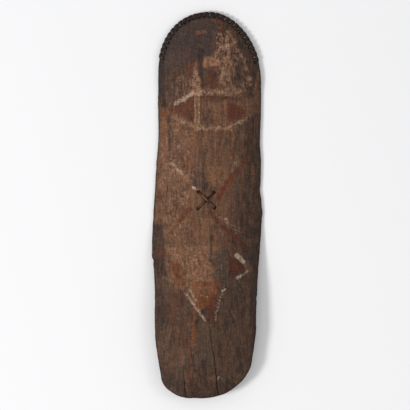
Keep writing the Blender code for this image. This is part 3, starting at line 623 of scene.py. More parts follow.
def unevenness(x, y, seed, size=97):
    """Smooth random heights about 0: a seeded lattice of numbers, blended by a smooth step between."""
    lattice = np.random.default_rng(seed).uniform(-1.0, 1.0, (size, size))
    column, row = np.floor(x).astype(int), np.floor(y).astype(int)
    u, v = smooth_step(x - column), smooth_step(y - row)
    left, right = column % size, (column + 1) % size
    low, high = (lattice[level % size, left] * (1 - u) + lattice[level % size, right] * u
                 for level in (row, row + 1))
    return low * (1 - v) + high * v


def noise(name, x, y, seed=0):
    """The named smooth random heights, stretched to their size. A seed given is added to theirs."""
    swing, across, along, own_seed = NOISES[name]
    return swing * unevenness(x / across, y / along, own_seed + seed)


def curve_through(stations, steps=24):
    """A Catmull-Rom curve through given stations, sampled evenly between them."""
    knots = np.array(stations, float)
    ends = np.vstack([2 * knots[0] - knots[1], knots, 2 * knots[-1] - knots[-2]])
    t = np.linspace(0.0, 1.0, steps, endpoint=False)[None, :, None]
    a, b, c, d = (ends[i:len(ends) - 3 + i, None, :] for i in range(4))
    curve = 0.5 * (2 * b + (c - a) * t + (2 * a - 5 * b + 4 * c - d) * t ** 2
                   + (3 * b - a - 3 * c + d) * t ** 3)
    return np.vstack([curve.reshape(-1, knots.shape[1]), knots[-1]])


def quarter(centre, across, along, power, steps=120):
    """A superellipse quarter: each axis by cosine or sine to the power 2 over the roundness."""
    angle = np.linspace(0.0, np.pi / 2, steps)
    return np.column_stack([centre[0] + across * np.cos(angle) ** (2 / power),
                            centre[1] + along * np.sin(angle) ** (2 / power)])


def edge_line(side, stations, flat_share, top_roundness, level_steps=9):
    """Half of the outline from the foot to the top: a quarter, a curve up the flank, a quarter."""
    curve = curve_through(stations)
    flank = np.column_stack([side * curve[:, 1] * BOARD_WIDTH, FOOT_Y + curve[:, 0] * BOARD_LENGTH])
    flat = flat_share * BOARD_WIDTH
    foot = quarter((flat, flank[0, 1]), flank[0, 0] - flat, FOOT_Y - flank[0, 1], FOOT_ROUNDNESS)
    level = np.linspace(flat, sum(FOOT_FLAT) / 2 * BOARD_WIDTH, level_steps)[1:]
    foot = np.vstack([foot, np.column_stack([level, np.full(len(level), FOOT_Y)])])
    top_x = TOP_AXIS * BOARD_WIDTH
    top = quarter((top_x, flank[-1, 1]), flank[-1, 0] - top_x, TOP_Y - flank[-1, 1], top_roundness)
    return np.vstack([foot[::-1], flank[1:-1], top])


LEFT_EDGE = edge_line(-1, LEFT_SIDE, FOOT_FLAT[0], TOP_ROUNDNESS[0])
RIGHT_EDGE = edge_line(1, RIGHT_SIDE, FOOT_FLAT[1], TOP_ROUNDNESS[1])
OUTLINE = np.vstack([RIGHT_EDGE, LEFT_EDGE[::-1]])


def edge_x(edge, y):
    """Where a level line at y meets one side of the outline."""
    return np.interp(y, edge[:, 1], edge[:, 0])


def fan(end):
    """Direction and reach of the outline seen from one end of the spine."""
    offset = OUTLINE - (0.0, SPINE[end])
    offset = offset[offset[:, 1] >= 0.0 if end else offset[:, 1] <= 0.0]
    angle = np.arctan2(offset[:, 1], offset[:, 0])
    order = np.argsort(angle)
    return angle[order], np.hypot(offset[:, 0], offset[:, 1])[order]


FANS = (fan(0), fan(1))


def edge_share(x, y):
    """How far out a place lies: 0 on the spine, 1 on the outline."""
    x, y = np.broadcast_arrays(np.asarray(x, float), np.asarray(y, float))
    result = np.abs(x) / np.abs(np.where(x < 0, edge_x(LEFT_EDGE, y), edge_x(RIGHT_EDGE, y)))
    for end, beyond in enumerate((y < SPINE[0], y > SPINE[1])):
        along = y - SPINE[end]
        reach = np.interp(np.arctan2(along, x), *FANS[end])
        result = np.where(beyond, np.hypot(x, along) / reach, result)
    return result


def lift(sizes, y):
    """Height of the flat strips over the ground: the warped foot end rises as a sine to a power, and
    the laced end as a smooth step."""
    t = np.clip((FOOT_Y + sizes.warp_reach - y) / sizes.warp_slope, 0.0, 1.0)
    warp = sizes.warp_height * np.sin(np.pi / 2 * t) ** WARP_POWER
    full = TOP_Y - max(LACED_LEFT, LACED_RIGHT) - LACE_ROOM_MARGIN
    return warp + LACE_ROOM * smooth_step((y - full + LACE_ROOM_SLOPE) / LACE_ROOM_SLOPE)


def crown(sizes):
    """Rise of the face's middle over its edge."""
    return sizes.hollow_depth + sizes.centre_thickness - sizes.edge_thickness


def back_height(sizes, x, y):
    """The back: flat strips round the edge, and a parabola hollow between them."""
    share = edge_share(x, y) / STRIP_SHARE
    return lift(sizes, y) + sizes.hollow_depth * np.clip(1.0 - share ** 2, 0.0, None)


def front_height(sizes, x, y):
    """The front: a parabola crown over the edge."""
    return lift(sizes, y) + sizes.edge_thickness + crown(sizes) * (1.0 - edge_share(x, y) ** 2)


def outline_stations():
    """Points round the outline, each with the spine point that its ring shrinks to."""
    levels = np.linspace(SPINE[0], SPINE[1], FLANK_STEPS + 1)
    right, left = (np.column_stack([edge_x(edge, levels), levels]) for edge in (RIGHT_EDGE, LEFT_EDGE))
    ends = []
    for end, steps in ((1, TOP_STEPS), (0, FOOT_STEPS)):
        angles, reach = FANS[end]
        turn = np.linspace(angles[0], angles[-1], steps + 1)[1:-1]
        distance = np.interp(turn, angles, reach)
        ends.append(np.column_stack([distance * np.cos(turn), SPINE[end] + distance * np.sin(turn)]))
    points = np.vstack([right, ends[0], left[::-1], ends[1]])
    spine = np.column_stack([np.zeros(len(points)), np.clip(points[:, 1], *SPINE)])
    return points, spine


def outward(points):
    """Unit normals of a closed line of points that runs counter-clockwise."""
    along = np.roll(points, -1, axis=0) - np.roll(points, 1, axis=0)
    return unit(np.column_stack([along[:, 1], -along[:, 0]]))


def laced_share(y):
    """1 where the rim is laced, falling to 0 below it."""
    return smooth_step((y - (TOP_Y - LACED_RIGHT - LACED_BELOW)) / LACED_FADE)


def nicked(edge):
    """The outline with its nicks: each shifts x by its size times a bell curve along the board. Two
    fine noises roughen the flanks, and one chips the foot's end."""
    side, y = np.sign(edge[:, 0]), edge[:, 1]
    shift = np.zeros(len(edge))
    for nick_side, place, reach, size in NICKS:
        shift += np.where(side == nick_side, size * np.exp(-((y - place) / reach) ** 2), 0.0)
    rough = noise("edge waves", y, side * WAVES_ROW) + noise("edge fibres", y, side * FIBRES_ROW)
    flank = smooth_step((np.abs(edge[:, 0]) - FLANK_FROM) / FLANK_FADE)
    shift = (shift + rough) * (1.0 - laced_share(y)) * flank
    foot = smooth_step((SPINE[0] - CHIPS_FROM - y) / CHIPS_FADE)
    return edge + np.column_stack([side * shift, noise("foot chips", edge[:, 0], 0.0) * foot])


def front_relief(sizes, x, y):
    """Height changes in front: a slow waviness, facets that are deepest where their noise crosses 0,
    fine upright grain, and pits where a noise is high."""
    bent = x + noise("facets' bend", x, y)
    facets = -sizes.adze_depth * (1.0 - np.abs(noise("facets", bent, y))) ** 3
    grain = sizes.grain_depth * (noise("fine grain", bent, y) + noise("coarse grain", bent, y))
    pits = -PIT_DEPTH * smooth_step((noise("pits", x, y) - PITS_FROM) / PITS_RANGE)
    return (noise("waviness", x, y) + facets + grain + pits) * (1.0 - LACED_CALM * laced_share(y))


def scallops(x, y):
    """Rows of adze cuts: each is a cosine across, and along it deepens slowly, then stops short."""
    row = y / CUT_LENGTH + noise("cuts' rows", x, y)
    column = x / CUT_WIDTH + 0.5 * (np.floor(row) % 2) + noise("cuts' columns", x, y)
    along = row % 1.0
    deepening = along ** CUT_DEEPENING * smooth_step((1.0 - along) / CUT_STOP)
    return np.cos(np.pi * (column % 1.0 - 0.5)) ** CUT_HOLLOW * deepening * CUT_GREATEST


def back_relief(sizes, x, y):
    """Height changes behind: rows of adze scallops and a fine roughness, both fading on the strips."""
    rough = 1.0 + noise("rough back", x, y)
    inner = STRIP_LEFT + (1.0 - STRIP_LEFT) * smooth_step((STRIP_SHARE - edge_share(x, y)) / STRIP_FADE)
    return sizes.back_adze_depth * (CUT_SHARE * scallops(x, y) + ROUGH_SHARE * rough) * inner


def closed_skin(rows):
    """Vertices and triangles of a skin over rows of points, each row closed on itself.

    Points that coincide are made one, and triangles that shrink to a line are dropped. The
    triangles are turned round where the volume that they enclose comes out below zero. Also
    returns the place in the rows that each vertex comes from.
    """
    count, width = rows.shape[:2]
    index = np.arange(count * width).reshape(count, width)
    a, b = index[:-1], index[1:]
    c, d = np.roll(b, -1, axis=1), np.roll(a, -1, axis=1)
    faces = np.vstack([np.stack([a, b, c], -1).reshape(-1, 3), np.stack([a, c, d], -1).reshape(-1, 3)])
    points = rows.reshape(-1, 3)
    _, first, same = np.unique(np.round(points, 7), axis=0, return_index=True, return_inverse=True)
    faces = same.reshape(-1)[faces]
    real = (faces[:, 0] != faces[:, 1]) & (faces[:, 1] != faces[:, 2]) & (faces[:, 2] != faces[:, 0])
    points, faces = points[first], faces[real]
    corners = points[faces]
    volume = np.einsum("ij,ij->", corners[:, 0], np.cross(corners[:, 1], corners[:, 2]))
    return points, (faces if volume > 0.0 else faces[:, ::-1]).tolist(), first


def new_object(name, points, faces):
    """Puts points and faces into a mesh object at the origin."""
    mesh = bpy.data.meshes.new(name)
    mesh.from_pydata(points.tolist(), [], faces)
    mesh.update()
    return placed(name, mesh)


def placed(name, data):
    """Adds an object with its data to the scene."""
    made = bpy.data.objects.new(name, data)
    bpy.context.scene.collection.objects.link(made)
    return made


def store(mesh, name, values, kind="FLOAT", field="value"):
    """Stores one number, or one vector, for each point of a mesh."""
    layer = mesh.attributes.new(name, kind, "POINT")
    layer.data.foreach_set(field, np.ascontiguousarray(values, dtype=np.float32).ravel())


def board_rows(sizes):
    """The board as a grid: one way round the outline, the other from the middle of the face,
    over the edge on two quarter rounds, to the middle of the back."""
    edge, spine = outline_stations()
    edge = nicked(edge)
    normal = outward(edge)

    def skin(height, relief, place, drop=0.0):
        """A row of points at the side's height with its relief, raised by a drop."""
        level = height(sizes, *place.T) + relief(sizes, *place.T) + drop
        return np.column_stack([place, level])

    def quarter_round(height, relief, radius, degrees, way):
        """Rows round an edge: inwards by the radius less its sine, up or down by 1 less the cosine."""
        return [skin(height, relief, edge - normal * radius * (1 - np.sin(angle)),
                     way * radius * (1 - np.cos(angle))) for angle in np.radians(degrees)]

    front, back = (front_height, front_relief), (back_height, back_relief)
    rows = [skin(*front, spine + (edge - spine) * share) for share in FACE_SHARES]
    rows += quarter_round(*front, sizes.front_rounding, FRONT_EDGE_DEGREES, -1)
    rows += quarter_round(*back, sizes.back_rounding, BACK_EDGE_DEGREES, 1)
    rows += [skin(*back, spine + (edge - spine) * share) for share in BACK_SHARES]
    return np.array(rows)


def laced_rim():
    """The edge over the top from the first stitch to the last, by distance along it."""
    left = LEFT_EDGE[LEFT_EDGE[:, 1] > 0.0]
    right = RIGHT_EDGE[RIGHT_EDGE[:, 1] > 0.0][::-1]
    line = np.vstack([left, right[1:]])
    length = distance_along(line)
    start = np.interp(TOP_Y - LACED_LEFT, left[:, 1], length[:len(left)])
    end = np.interp(LACED_RIGHT - TOP_Y, -right[:, 1], length[len(left) - 1:])
    return line, length, start, end


RIM_LINE, RIM_LENGTH, RIM_START, RIM_END = laced_rim()
RIM_PLACES = np.linspace(RIM_START, RIM_END, round((RIM_END - RIM_START) / STITCH_PITCH) + 1)


def rim_place(distance):
    """Edge point and outward direction at a distance along the rim."""
    step = STITCH_PITCH / 4
    here, ahead, behind = (np.column_stack([np.interp(distance + shift, RIM_LENGTH, RIM_LINE[:, axis])
                                            for axis in (0, 1)]) for shift in (0.0, step, -step))
    along = ahead - behind
    return here, unit(np.column_stack([-along[:, 1], along[:, 0]]))


def rim_hole_places():
    """Centres of the holes along the laced rim."""
    edge, normal = rim_place(RIM_PLACES)
    return edge - normal * RIM_HOLE_INSET


RIM_HOLES = rim_hole_places()
MIDDLE_HOLES = CROSS_MIDDLE + CROSS_HOLES * CROSS_SPACING


def hole_shells(sizes, places, diameter):
    """Upright round cutters, straight inside the wood and flared at both faces."""
    turn = round_turn(HOLE_SIDES)
    points, faces = [], []
    for x, y in places:
        levels = {"front": float(front_height(sizes, x, y)), "back": float(back_height(sizes, x, y))}
        start = sum(len(part) for part in points)
        for face, height, flare in HOLE_PROFILE:
            radius = diameter / 2 + flare
            points.append(np.column_stack([x + radius * np.cos(turn), y + radius * np.sin(turn),
                                           np.full(HOLE_SIDES, levels[face] + height)]))
        rings = [list(range(start + HOLE_SIDES * i, start + HOLE_SIDES * (i + 1)))
                 for i in range(len(HOLE_PROFILE))]
        faces += [[low[i], low[(i + 1) % HOLE_SIDES], high[(i + 1) % HOLE_SIDES], high[i]]
                  for low, high in zip(rings, rings[1:]) for i in range(HOLE_SIDES)]
        faces += [rings[0][::-1], rings[-1]]
    return np.vstack(points), faces


def crack_shell(sizes, path, seed):
    """A cutter along a crack: its rows joined smoothly, with a wandering middle line. Its walls
    slant and close towards the back, as drying cracks do."""
    x, height, width = curve_through(path, CRACK_STEPS).T
    middle = x + noise("crack's way", height, 0.0, seed)
    half = np.clip(width, 0.0, None) / 2 * (1.0 + noise("crack's width", height, 0.0, seed))
    half = np.clip(half, CRACK_LEAST, None)
    y = FOOT_Y + height
    level = front_height(sizes, middle, y)
    rings = []
    for over, wide, aside in CRACK_PROFILE:
        left, right = middle + aside - half * wide, middle + aside + half * wide
        rings.append(np.vstack([np.column_stack([left, y, level + over]),
                                np.column_stack([right, y, level + over])[::-1]]))
    count, last = len(rings[0]), len(rings) - 1
    faces = [[j * count + i, j * count + (i + 1) % count, (j + 1) * count + (i + 1) % count,
              (j + 1) * count + i] for j in range(last) for i in range(count)]
    for i in range(count // 2 - 1):
        cap = [i, i + 1, count - 2 - i, count - 1 - i]
        faces += [cap[::-1], [last * count + corner for corner in cap]]
    return np.vstack(rings), faces


def cut_board(board, shells):
    """Takes all the cutters out of the board at once and keeps the result as its mesh, in
    triangles and without the slivers that the cuts leave."""
    points, faces, start = [], [], 0
    for shell_points, shell_faces in shells:
        points.append(shell_points)
        faces += [[start + i for i in face] for face in shell_faces]
        start += len(shell_points)
    tool = new_object("cutters", np.vstack(points), faces)
    boolean = board.modifiers.new("cutters", "BOOLEAN")
    boolean.operation, boolean.solver, boolean.object = "DIFFERENCE", "MANIFOLD", tool
    bpy.context.view_layer.update()
    cut = bpy.data.meshes.new_from_object(board.evaluated_get(bpy.context.evaluated_depsgraph_get()))
    board.modifiers.clear()
    if len(cut.vertices) <= len(board.data.vertices):
        raise RuntimeError("the cutters left the board as it was")
    solid = bmesh.new()
    solid.from_mesh(cut)
    bmesh.ops.remove_doubles(solid, verts=solid.verts, dist=SLIVER)
    for _ in range(2):
        bmesh.ops.dissolve_degenerate(solid, edges=solid.edges, dist=SLIVER)
        bmesh.ops.triangulate(solid, faces=solid.faces, quad_method="BEAUTY", ngon_method="BEAUTY")
    solid.to_mesh(cut)
    solid.free()
    board.data = cut
    bpy.data.objects.remove(tool, do_unlink=True)


def on_board(pixel_points):
    """Picture pixels as places on the board."""
    points = np.array(pixel_points, float)
    return np.column_stack([points[:, 0] - PICTURE_MIDDLE[0], PICTURE_MIDDLE[1] - points[:, 1]]) * PIXEL


def line_distance(place, points):
    """Distance from each place to a line of points: the nearest of its straight stretches."""
    nearest = np.full(len(place), np.inf)
    for start, end in zip(points, points[1:]):
        way = end - start
        t = np.clip((place - start) @ way / (way @ way), 0.0, 1.0)
        nearest = np.minimum(nearest, np.linalg.norm(place - start - t[:, None] * way, axis=1))
    return nearest


def area_depth(place, corners):
    """Depth inside a closed area, negative outside: the distance to its outline, with the sign by
    how often a level line from the place meets the outline."""
    depth = line_distance(place, np.vstack([corners, corners[:1]]))
    inside = np.zeros(len(place), bool)
    for (x0, y0), (x1, y1) in zip(corners, np.roll(corners, -1, axis=0)):
        spans = (y0 > place[:, 1]) != (y1 > place[:, 1])
        with np.errstate(divide="ignore", invalid="ignore"):
            meets = x0 + (place[:, 1] - y0) * (x1 - x0) / (y1 - y0)
        inside ^= spans & (place[:, 0] < meets)
    return np.where(inside, depth, -depth)


def held(depth, softness):
    """Rises from 0 to 1 over a softness in pixels that is centred where the depth is 0."""
    return smooth_step(0.5 + depth / (softness * PIXEL))


def pigment_cover(place):
    """How much of the surface each pigment covers, from 0 to 1: the strongest of its strokes and
    areas, each fading over its softness."""
    for across, along, swing, seed in WANDER:
        x, y = place[:, 0] / across, place[:, 1] / along
        place = place + swing * np.column_stack([unevenness(x, y, seed + i) for i in (0, 1)])
    cover = {pigment: np.zeros(len(place)) for pigment in AREAS}
    for pigment, strokes in STROKES.items():
        for strength, width, softness, *points in strokes.values():
            depth = width * PIXEL / 2 - line_distance(place, on_board(points))
            cover[pigment] = np.maximum(cover[pigment], strength * held(depth, softness))
    for pigment, areas in AREAS.items():
        for strength, softness, *corners in areas.values():
            depth = area_depth(place, on_board(corners))
            cover[pigment] = np.maximum(cover[pigment], strength * held(depth, softness))
    return cover


def wood_tone(place):
    """How light the bare wood is: the zones' values, weighed by how deep inside a place lies."""
    total, weight = np.full(len(place), TONE_BETWEEN), np.full(len(place), TONE_BETWEEN_WEIGHT)
    for value, softness, *corners in TONES.values():
        part = held(area_depth(place, on_board(corners)), TONE_SPREAD * softness)
        total, weight = total + value * part, weight + part
    return total / weight


def shade_beside(distance, start, reach, strength):
    """Painted shade that is strongest at a hole, strand or crack and falls to 0 beside it."""
    return strength * fall(distance, start, reach)


def board_painted_shade(place):
    """The strongest painted shade of the holes and the two cracks, and the painted shadow of the crossing
    strand's two runs.
    """
    holes = np.vstack([RIM_HOLES, MIDDLE_HOLES])
    near = np.min(np.linalg.norm(place[:, None, :] - holes[None, :, :], axis=2), axis=1)
    dirt = shade_beside(near, *HOLE_SHADE)
    for path in (MAIN_CRACK, SIDE_CRACK):
        line = curve_through(path, CRACK_LINE_STEPS)[:, :2] + (0.0, FOOT_Y)
        dirt = np.maximum(dirt, shade_beside(line_distance(place, line), *CRACK_SHADE))
    # Painted shadow along the crossing strand's two runs
    for ends in ((0, 3), (1, 2)):
        run = line_distance(place, MIDDLE_HOLES[list(ends)])
        dirt = np.maximum(dirt, shade_beside(run, *STRAND_SHADOW))
    return dirt


def finish_board(sizes, board):
    """Stores on the board's points what its finish reads: side, pigments, tone, rim and painted shade."""
    mesh = board.data
    points = np.empty(len(mesh.vertices) * 3)
    mesh.vertices.foreach_get("co", points)
    points = points.reshape(-1, 3)
    place = points[:, :2]
    top, foot = front_height(sizes, *place.T), back_height(sizes, *place.T)
    face = smooth_step((points[:, 2] - (top + foot) / 2) / SIDE_BLEND + 0.5)
    for pigment, cover in pigment_cover(place).items():
        store(mesh, pigment, cover * face)
    inset = line_distance(place, OUTLINE[::OUTLINE_STEP])
    store(mesh, "face", face)
    store(mesh, "tone", np.where(face > 0.5, wood_tone(place), scallops(*place.T)))
    store(mesh, "rim", smooth_step((RIM_DIRT - inset) / RIM_DIRT_FADE) * laced_share(place[:, 1]))
    store(mesh, "edge", smooth_step(1.0 - inset / EDGE_DARK) * face)
    # Painted shade round the holes and in the cracks, and painted shadow beside the crossing strand
    store(mesh, "dirt", board_painted_shade(place))
    # Painted shade inside the holes and cracks, below the front face
    store(mesh, "depth", smooth_step((top - points[:, 2]) / HOLE_SHADE_DEPTH) * face)
    store(mesh, "handled", fall(np.linalg.norm((place - CROSS_MIDDLE) / HANDLED_REACH, axis=1), 0.0, 1.0))


def stitch_shape(sizes):
    """One stitch across the rim: advance, distance out from the edge, height, width, thickness.

    It rises through its hole, bends over the front, fans out flat round the edge and comes back
    behind to the next hole. Heights are over the strip behind.
    """
    hole, radius = -RIM_HOLE_INSET, RIM_HOLE_DIAMETER / 2
    front, back = sizes.front_rounding, sizes.back_rounding
    share = 1.0 - RIM_HOLE_INSET / (BOARD_WIDTH / 2)
    top = sizes.edge_thickness + crown(sizes) * (1.0 - share ** 2)
    slope = (top - sizes.edge_thickness) / RIM_HOLE_INSET
    flat, thick, diagonal = LACE_THICKNESS / 2 + GAP, LACE_ROUND / 2 + GAP, np.sqrt(0.5)
    front_turn = (front + flat) * diagonal - front
    back_turn = (back + flat + GAP) * diagonal - back
    edge_top = sizes.edge_thickness + slope * front
    wide = LACE_WIDTH * 1.04
    return np.array([
        (0.00, hole, radius * 0.3, LACE_ROUND, LACE_ROUND),
        (0.00, hole, top - radius * 0.3, LACE_ROUND, LACE_ROUND),
        (0.02, hole + radius * 0.35, top + thick * 0.75, LACE_ROUND * 1.1, LACE_ROUND * 0.92),
        (0.09, hole + radius * 1.25, top + LACE_BEND, LACE_WIDTH * 0.60, LACE_ROUND * 0.70),
        (0.22, -front, edge_top + flat + GAP, wide * 0.86, LACE_THICKNESS * 1.1),
        (0.35, front_turn, edge_top + front_turn, wide, LACE_THICKNESS),
        (0.46, flat, edge_top - front, wide, LACE_THICKNESS * 1.15),
        (0.54, flat, back, wide, LACE_THICKNESS * 1.15),
        (0.65, back_turn, -back_turn, wide, LACE_THICKNESS),
        (0.76, -back * 1.15, -flat - GAP, wide * 0.88, LACE_THICKNESS),
        (0.92, hole + radius * 1.1, -LACE_BEND, LACE_WIDTH * 0.58, LACE_ROUND * 0.70),
        (0.985, hole + radius * 0.3, -0.7 * LACE_BEND, LACE_ROUND * 1.1, LACE_ROUND * 0.80),
    ])


# How strong the painted highlight is on each row of a stitch, strongest where it leaves its hole,
# how much more on the right and from which x, the rows that vary in width from stitch to stitch,
# and the seed of what varies
STITCH_HIGHLIGHT = np.array([0.0, 0.3, 1.0, 0.60, 0.08, 0.0, 0.0, 0.0, 0.0, 0.0, 0.0, 0.0])
RIGHT_HIGHLIGHT, RIGHT_FROM = 0.34, 0.05
STITCH_FANNED = slice(3, 10)
STITCH_SEED = 41


def tail_shape():
    """The free end of the strand behind the board, in rows as those of a stitch."""
    hole = -RIM_HOLE_INSET
    return np.array([
        (0.0, hole - LACE_TAIL, -LACE_BEND, LACE_WIDTH * 0.45, LACE_THICKNESS),
        (0.0, hole - LACE_TAIL * 0.5, -LACE_BEND, LACE_WIDTH * 0.50, LACE_THICKNESS),
        (0.0, hole - RIM_HOLE_DIAMETER * 0.55, -LACE_BEND, LACE_WIDTH * 0.50, LACE_ROUND * 0.70),
        (0.0, hole - RIM_HOLE_DIAMETER * 0.15, -0.8 * LACE_BEND, LACE_ROUND * 1.1, LACE_ROUND * 0.80),
    ])


def rim_rows(sizes):
    """The rim strand's rows, as those of a stitch with their painted highlight added: the tail, the
    stitches one after another at their places, and the start of one more."""
    stitch = stitch_shape(sizes)
    chance = np.random.default_rng(STITCH_SEED)
    rows = [np.column_stack([tail_shape(), np.zeros(4)])]
    rows[0][:, 0] = RIM_PLACES[0]
    for start, end in zip(RIM_PLACES, RIM_PLACES[1:]):
        part = stitch.copy()
        part[:, 0] = start + part[:, 0] * (end - start)
        part[STITCH_FANNED, 3] *= chance.uniform(*STITCH_WIDTHS)
        right = RIGHT_HIGHLIGHT * (rim_place(start)[0][0, 0] > RIGHT_FROM)
        rub_and_highlight_share = STITCH_HIGHLIGHT * (chance.uniform(0.0, 1.0) ** 2 + right)
        rows.append(np.column_stack([part, rub_and_highlight_share]))
    last = np.column_stack([stitch[:2], np.zeros(2)])
    last[:, 0] = RIM_PLACES[-1]
    return curve_through(np.vstack([*rows, last]), STRAND_STEPS)


def straightened(turn, run, width, thickness):
    """Each point's place on the strand laid out straight: across, up and along."""
    return np.stack(np.broadcast_arrays(np.cos(turn)[None, :] * width / 2,
                                        np.sin(turn)[None, :] * thickness / 2, run[:, None]), -1)


def rim_strand(sizes):
    """The whipped strand: rings of points, one way round its lobed section and the other along it.

    The section is an ellipse whose height dips between the split fibres, as the sine of the place
    across it. Its wide axis follows the edge and its thin axis stands off the loop.
    """
    rows = rim_rows(sizes)
    edge, normal = rim_place(rows[:, 0])
    path = np.column_stack([edge + normal * rows[:, 1:2], lift(sizes, edge[:, 1]) + rows[:, 2]])
    along = np.column_stack([normal[:, 1], -normal[:, 0], np.zeros(len(normal))])
    thin = unit(np.cross(ways_on(path), along))
    turn = round_turn(RIM_SIDES)
    u = np.cos(turn)
    lobes = FIBRE_LEFT + (1.0 - FIBRE_LEFT) * np.abs(np.sin(np.pi * FIBRE_HALF_COUNT * (u + 1.0)))
    across = u[None, :, None] * rows[:, None, 3:4] / 2
    upright = (np.sin(turn) * lobes)[None, :, None] * rows[:, None, 4:5] / 2
    ring = path[:, None, :] + along[:, None, :] * across + thin[:, None, :] * upright
    first, last = (np.tile(end, (1, RIM_SIDES, 1)) for end in (path[0], path[-1]))
    ring = np.concatenate([first, ring, last])
    run, rub_and_highlight_share = (np.concatenate([values[:1], values, values[-1:]])
                 for values in (distance_along(path), rows[:, 5]))
    # The painted highlight of each row, narrowed to the middle of the section
    rub_and_highlight_share = rub_and_highlight_share[:, None] * np.exp(-(u / HIGHLIGHT_WIDTH) ** 2)[None, :]
    return ring, straightened(turn, run, LACE_WIDTH, LACE_THICKNESS), rub_and_highlight_share


def bend_over(hole, toward, height):
    """Quarter circle from a hole's axis onto the front."""
    way = (toward - hole) / np.linalg.norm(toward - hole)
    radius = CROSS_HOLE_DIAMETER / 2
    angle = np.radians(BEND_DEGREES)[:, None]
    return np.column_stack([hole + way * radius * (1.0 - np.cos(angle)), height + radius * np.sin(angle)])


def front_run(sizes, start, end, hump):
    """The strand along the front between two holes, raised by a hump where it crosses over."""
    length = np.linalg.norm(end - start)
    margin = CROSS_HOLE_DIAMETER * RUN_MARGIN / length
    share = np.linspace(margin, 1.0 - margin, RUN_PLACES)
    flat = start + (end - start) * share[:, None]
    raised = hump * smooth_step(1.0 - np.abs(share - 0.5) * length / (HUMP_REACH * CORD_DIAMETER))
    rest = CORD_DIAMETER / 2 + RUN_GAPS * GAP
    return np.column_stack([flat, front_height(sizes, *flat.T) + rest + raised])


def hanging(sizes, start, end, depth, angles):
    """Points of an ellipse that hangs behind the board from one place towards another."""
    angle = np.radians(angles)[:, None]
    flat = (start + end) / 2 - (end - start) / 2 * np.cos(angle)
    return np.column_stack([flat, float(back_height(sizes, *start)) - depth * np.sin(angle)])


def knotted_tail(hole, level):
    """The strand's free end behind its hole, and the winding of its other end round it.

    The tail bends out of the hole and runs straight on. The winding comes in below it on a
    quarter circle and then climbs round it as a helix.
    """
    coil = CORD_DIAMETER + GAP
    depth = coil + CORD_DIAMETER / 2 + 3 * GAP
    bend = TAIL_BEND * depth
    angle = np.radians((90.0, 60.0, 30.0, 0.0))
    tail = np.column_stack([np.full(4, hole[0]), hole[1] + bend * (1 - np.cos(angle)),
                            level - bend * np.sin(angle)])
    tail = np.vstack([(hole[0], hole[1] + TAIL_LENGTH, level - depth), tail])
    swing = WINDING_OUT * CORD_DIAMETER
    begin = hole + (-swing, WINDING_AT * TAIL_LENGTH - swing)
    angle = np.radians(np.linspace(0.0, 90.0, 5))[:-1]
    quarter_turn = np.column_stack([begin[0] + swing * (1 - np.cos(angle)), begin[1] + swing * np.sin(angle),
                                    np.full(4, level - depth - coil)])
    wind = np.arange(KNOT_TURNS * KNOT_STEPS + 1) * 2 * np.pi / KNOT_STEPS
    helix = np.column_stack([hole[0] + coil * np.sin(wind),
                             begin[1] + swing + (CORD_DIAMETER + 2 * GAP) * wind / (2 * np.pi),
                             level - depth - coil * np.cos(wind)])
    return tail, np.vstack([quarter_turn, helix])


# How strong the rubbed top's painted highlight is at each of the nine places on a run in front, and
# at the bends beside its end
LOWER_RUN_RUB_AND_HIGHLIGHT = (0.0, 0.0, 0.0, 0.0, 0.05, 0.15, 0.35, 0.5, 0.5)
UPPER_RUN_RUB_AND_HIGHLIGHT = (0.2, 0.7, 1.0, 1.0, 0.8, 0.35, 0.3, 0.6, 0.6)
BEND_RUB_AND_HIGHLIGHT = 0.3


def cross_path(sizes):
    """The middle line of the crossing strand, from its tail to the last turn of its knot. The fourth
    column says how strong each place's rubbed, painted highlight is: the run on top most, what hangs
    behind not at all."""
    top_left, top_right, foot_left, foot_right = MIDDLE_HOLES
    front = front_height(sizes, *MIDDLE_HOLES.T)
    level = float(back_height(sizes, *top_right))
    tail, winding = knotted_tail(top_right, level)
    depth = sizes.hollow_depth - LOOP_CLEARANCE - CORD_DIAMETER / 2
    loop = hanging(sizes, foot_left, top_left, depth, np.linspace(0.0, 180.0, LOOP_PLACES))
    mirrored = np.array([foot_right[0], 2 * CROSS_MIDDLE[1] - foot_right[1]])
    second = hanging(sizes, foot_right, mirrored, level - winding[0, 2],
                     np.linspace(0.0, 90.0, HALF_LOOP_PLACES))
    parts = ((tail, 0.0), (bend_over(top_right, foot_left, front[1]), 0.0),
             (front_run(sizes, top_right, foot_left, 0.0), LOWER_RUN_RUB_AND_HIGHLIGHT),
             (bend_over(foot_left, top_right, front[2])[::-1], BEND_RUB_AND_HIGHLIGHT), (loop, 0.0),
             (bend_over(top_left, foot_right, front[0]), 0.0),
             (front_run(sizes, top_left, foot_right, CORD_DIAMETER + GAP), UPPER_RUN_RUB_AND_HIGHLIGHT),
             (bend_over(foot_right, top_left, front[3])[::-1], BEND_RUB_AND_HIGHLIGHT), (second, 0.0),
             ((second[-1:] + winding[:1]) / 2, 0.0), (winding, 0.0))
    return np.vstack([np.column_stack([part, np.broadcast_to(rub_and_highlight_share, len(part))]) for part, rub_and_highlight_share in parts])


def carried_frames(path):
    """Two directions across a path at each of its points, carried along it without twist: each point
    first gets a level one, and all are then turned back by the sum of the turns between neighbours."""
    tangent = unit(ways_on(path))
    level = np.abs(tangent[:, 2]) < LEVEL_LIMIT
    side = unit(np.cross(tangent, np.where(level[:, None], (0.0, 0.0, 1.0), (1.0, 0.0, 0.0))))
    other = np.cross(tangent, side)
    step = np.arctan2(np.sum(side[:-1] * other[1:], axis=1), np.sum(side[:-1] * side[1:], axis=1))
    turn = np.concatenate([[0.0], np.cumsum(step)])[:, None]
    return side * np.cos(turn) + other * np.sin(turn), other * np.cos(turn) - side * np.sin(turn)


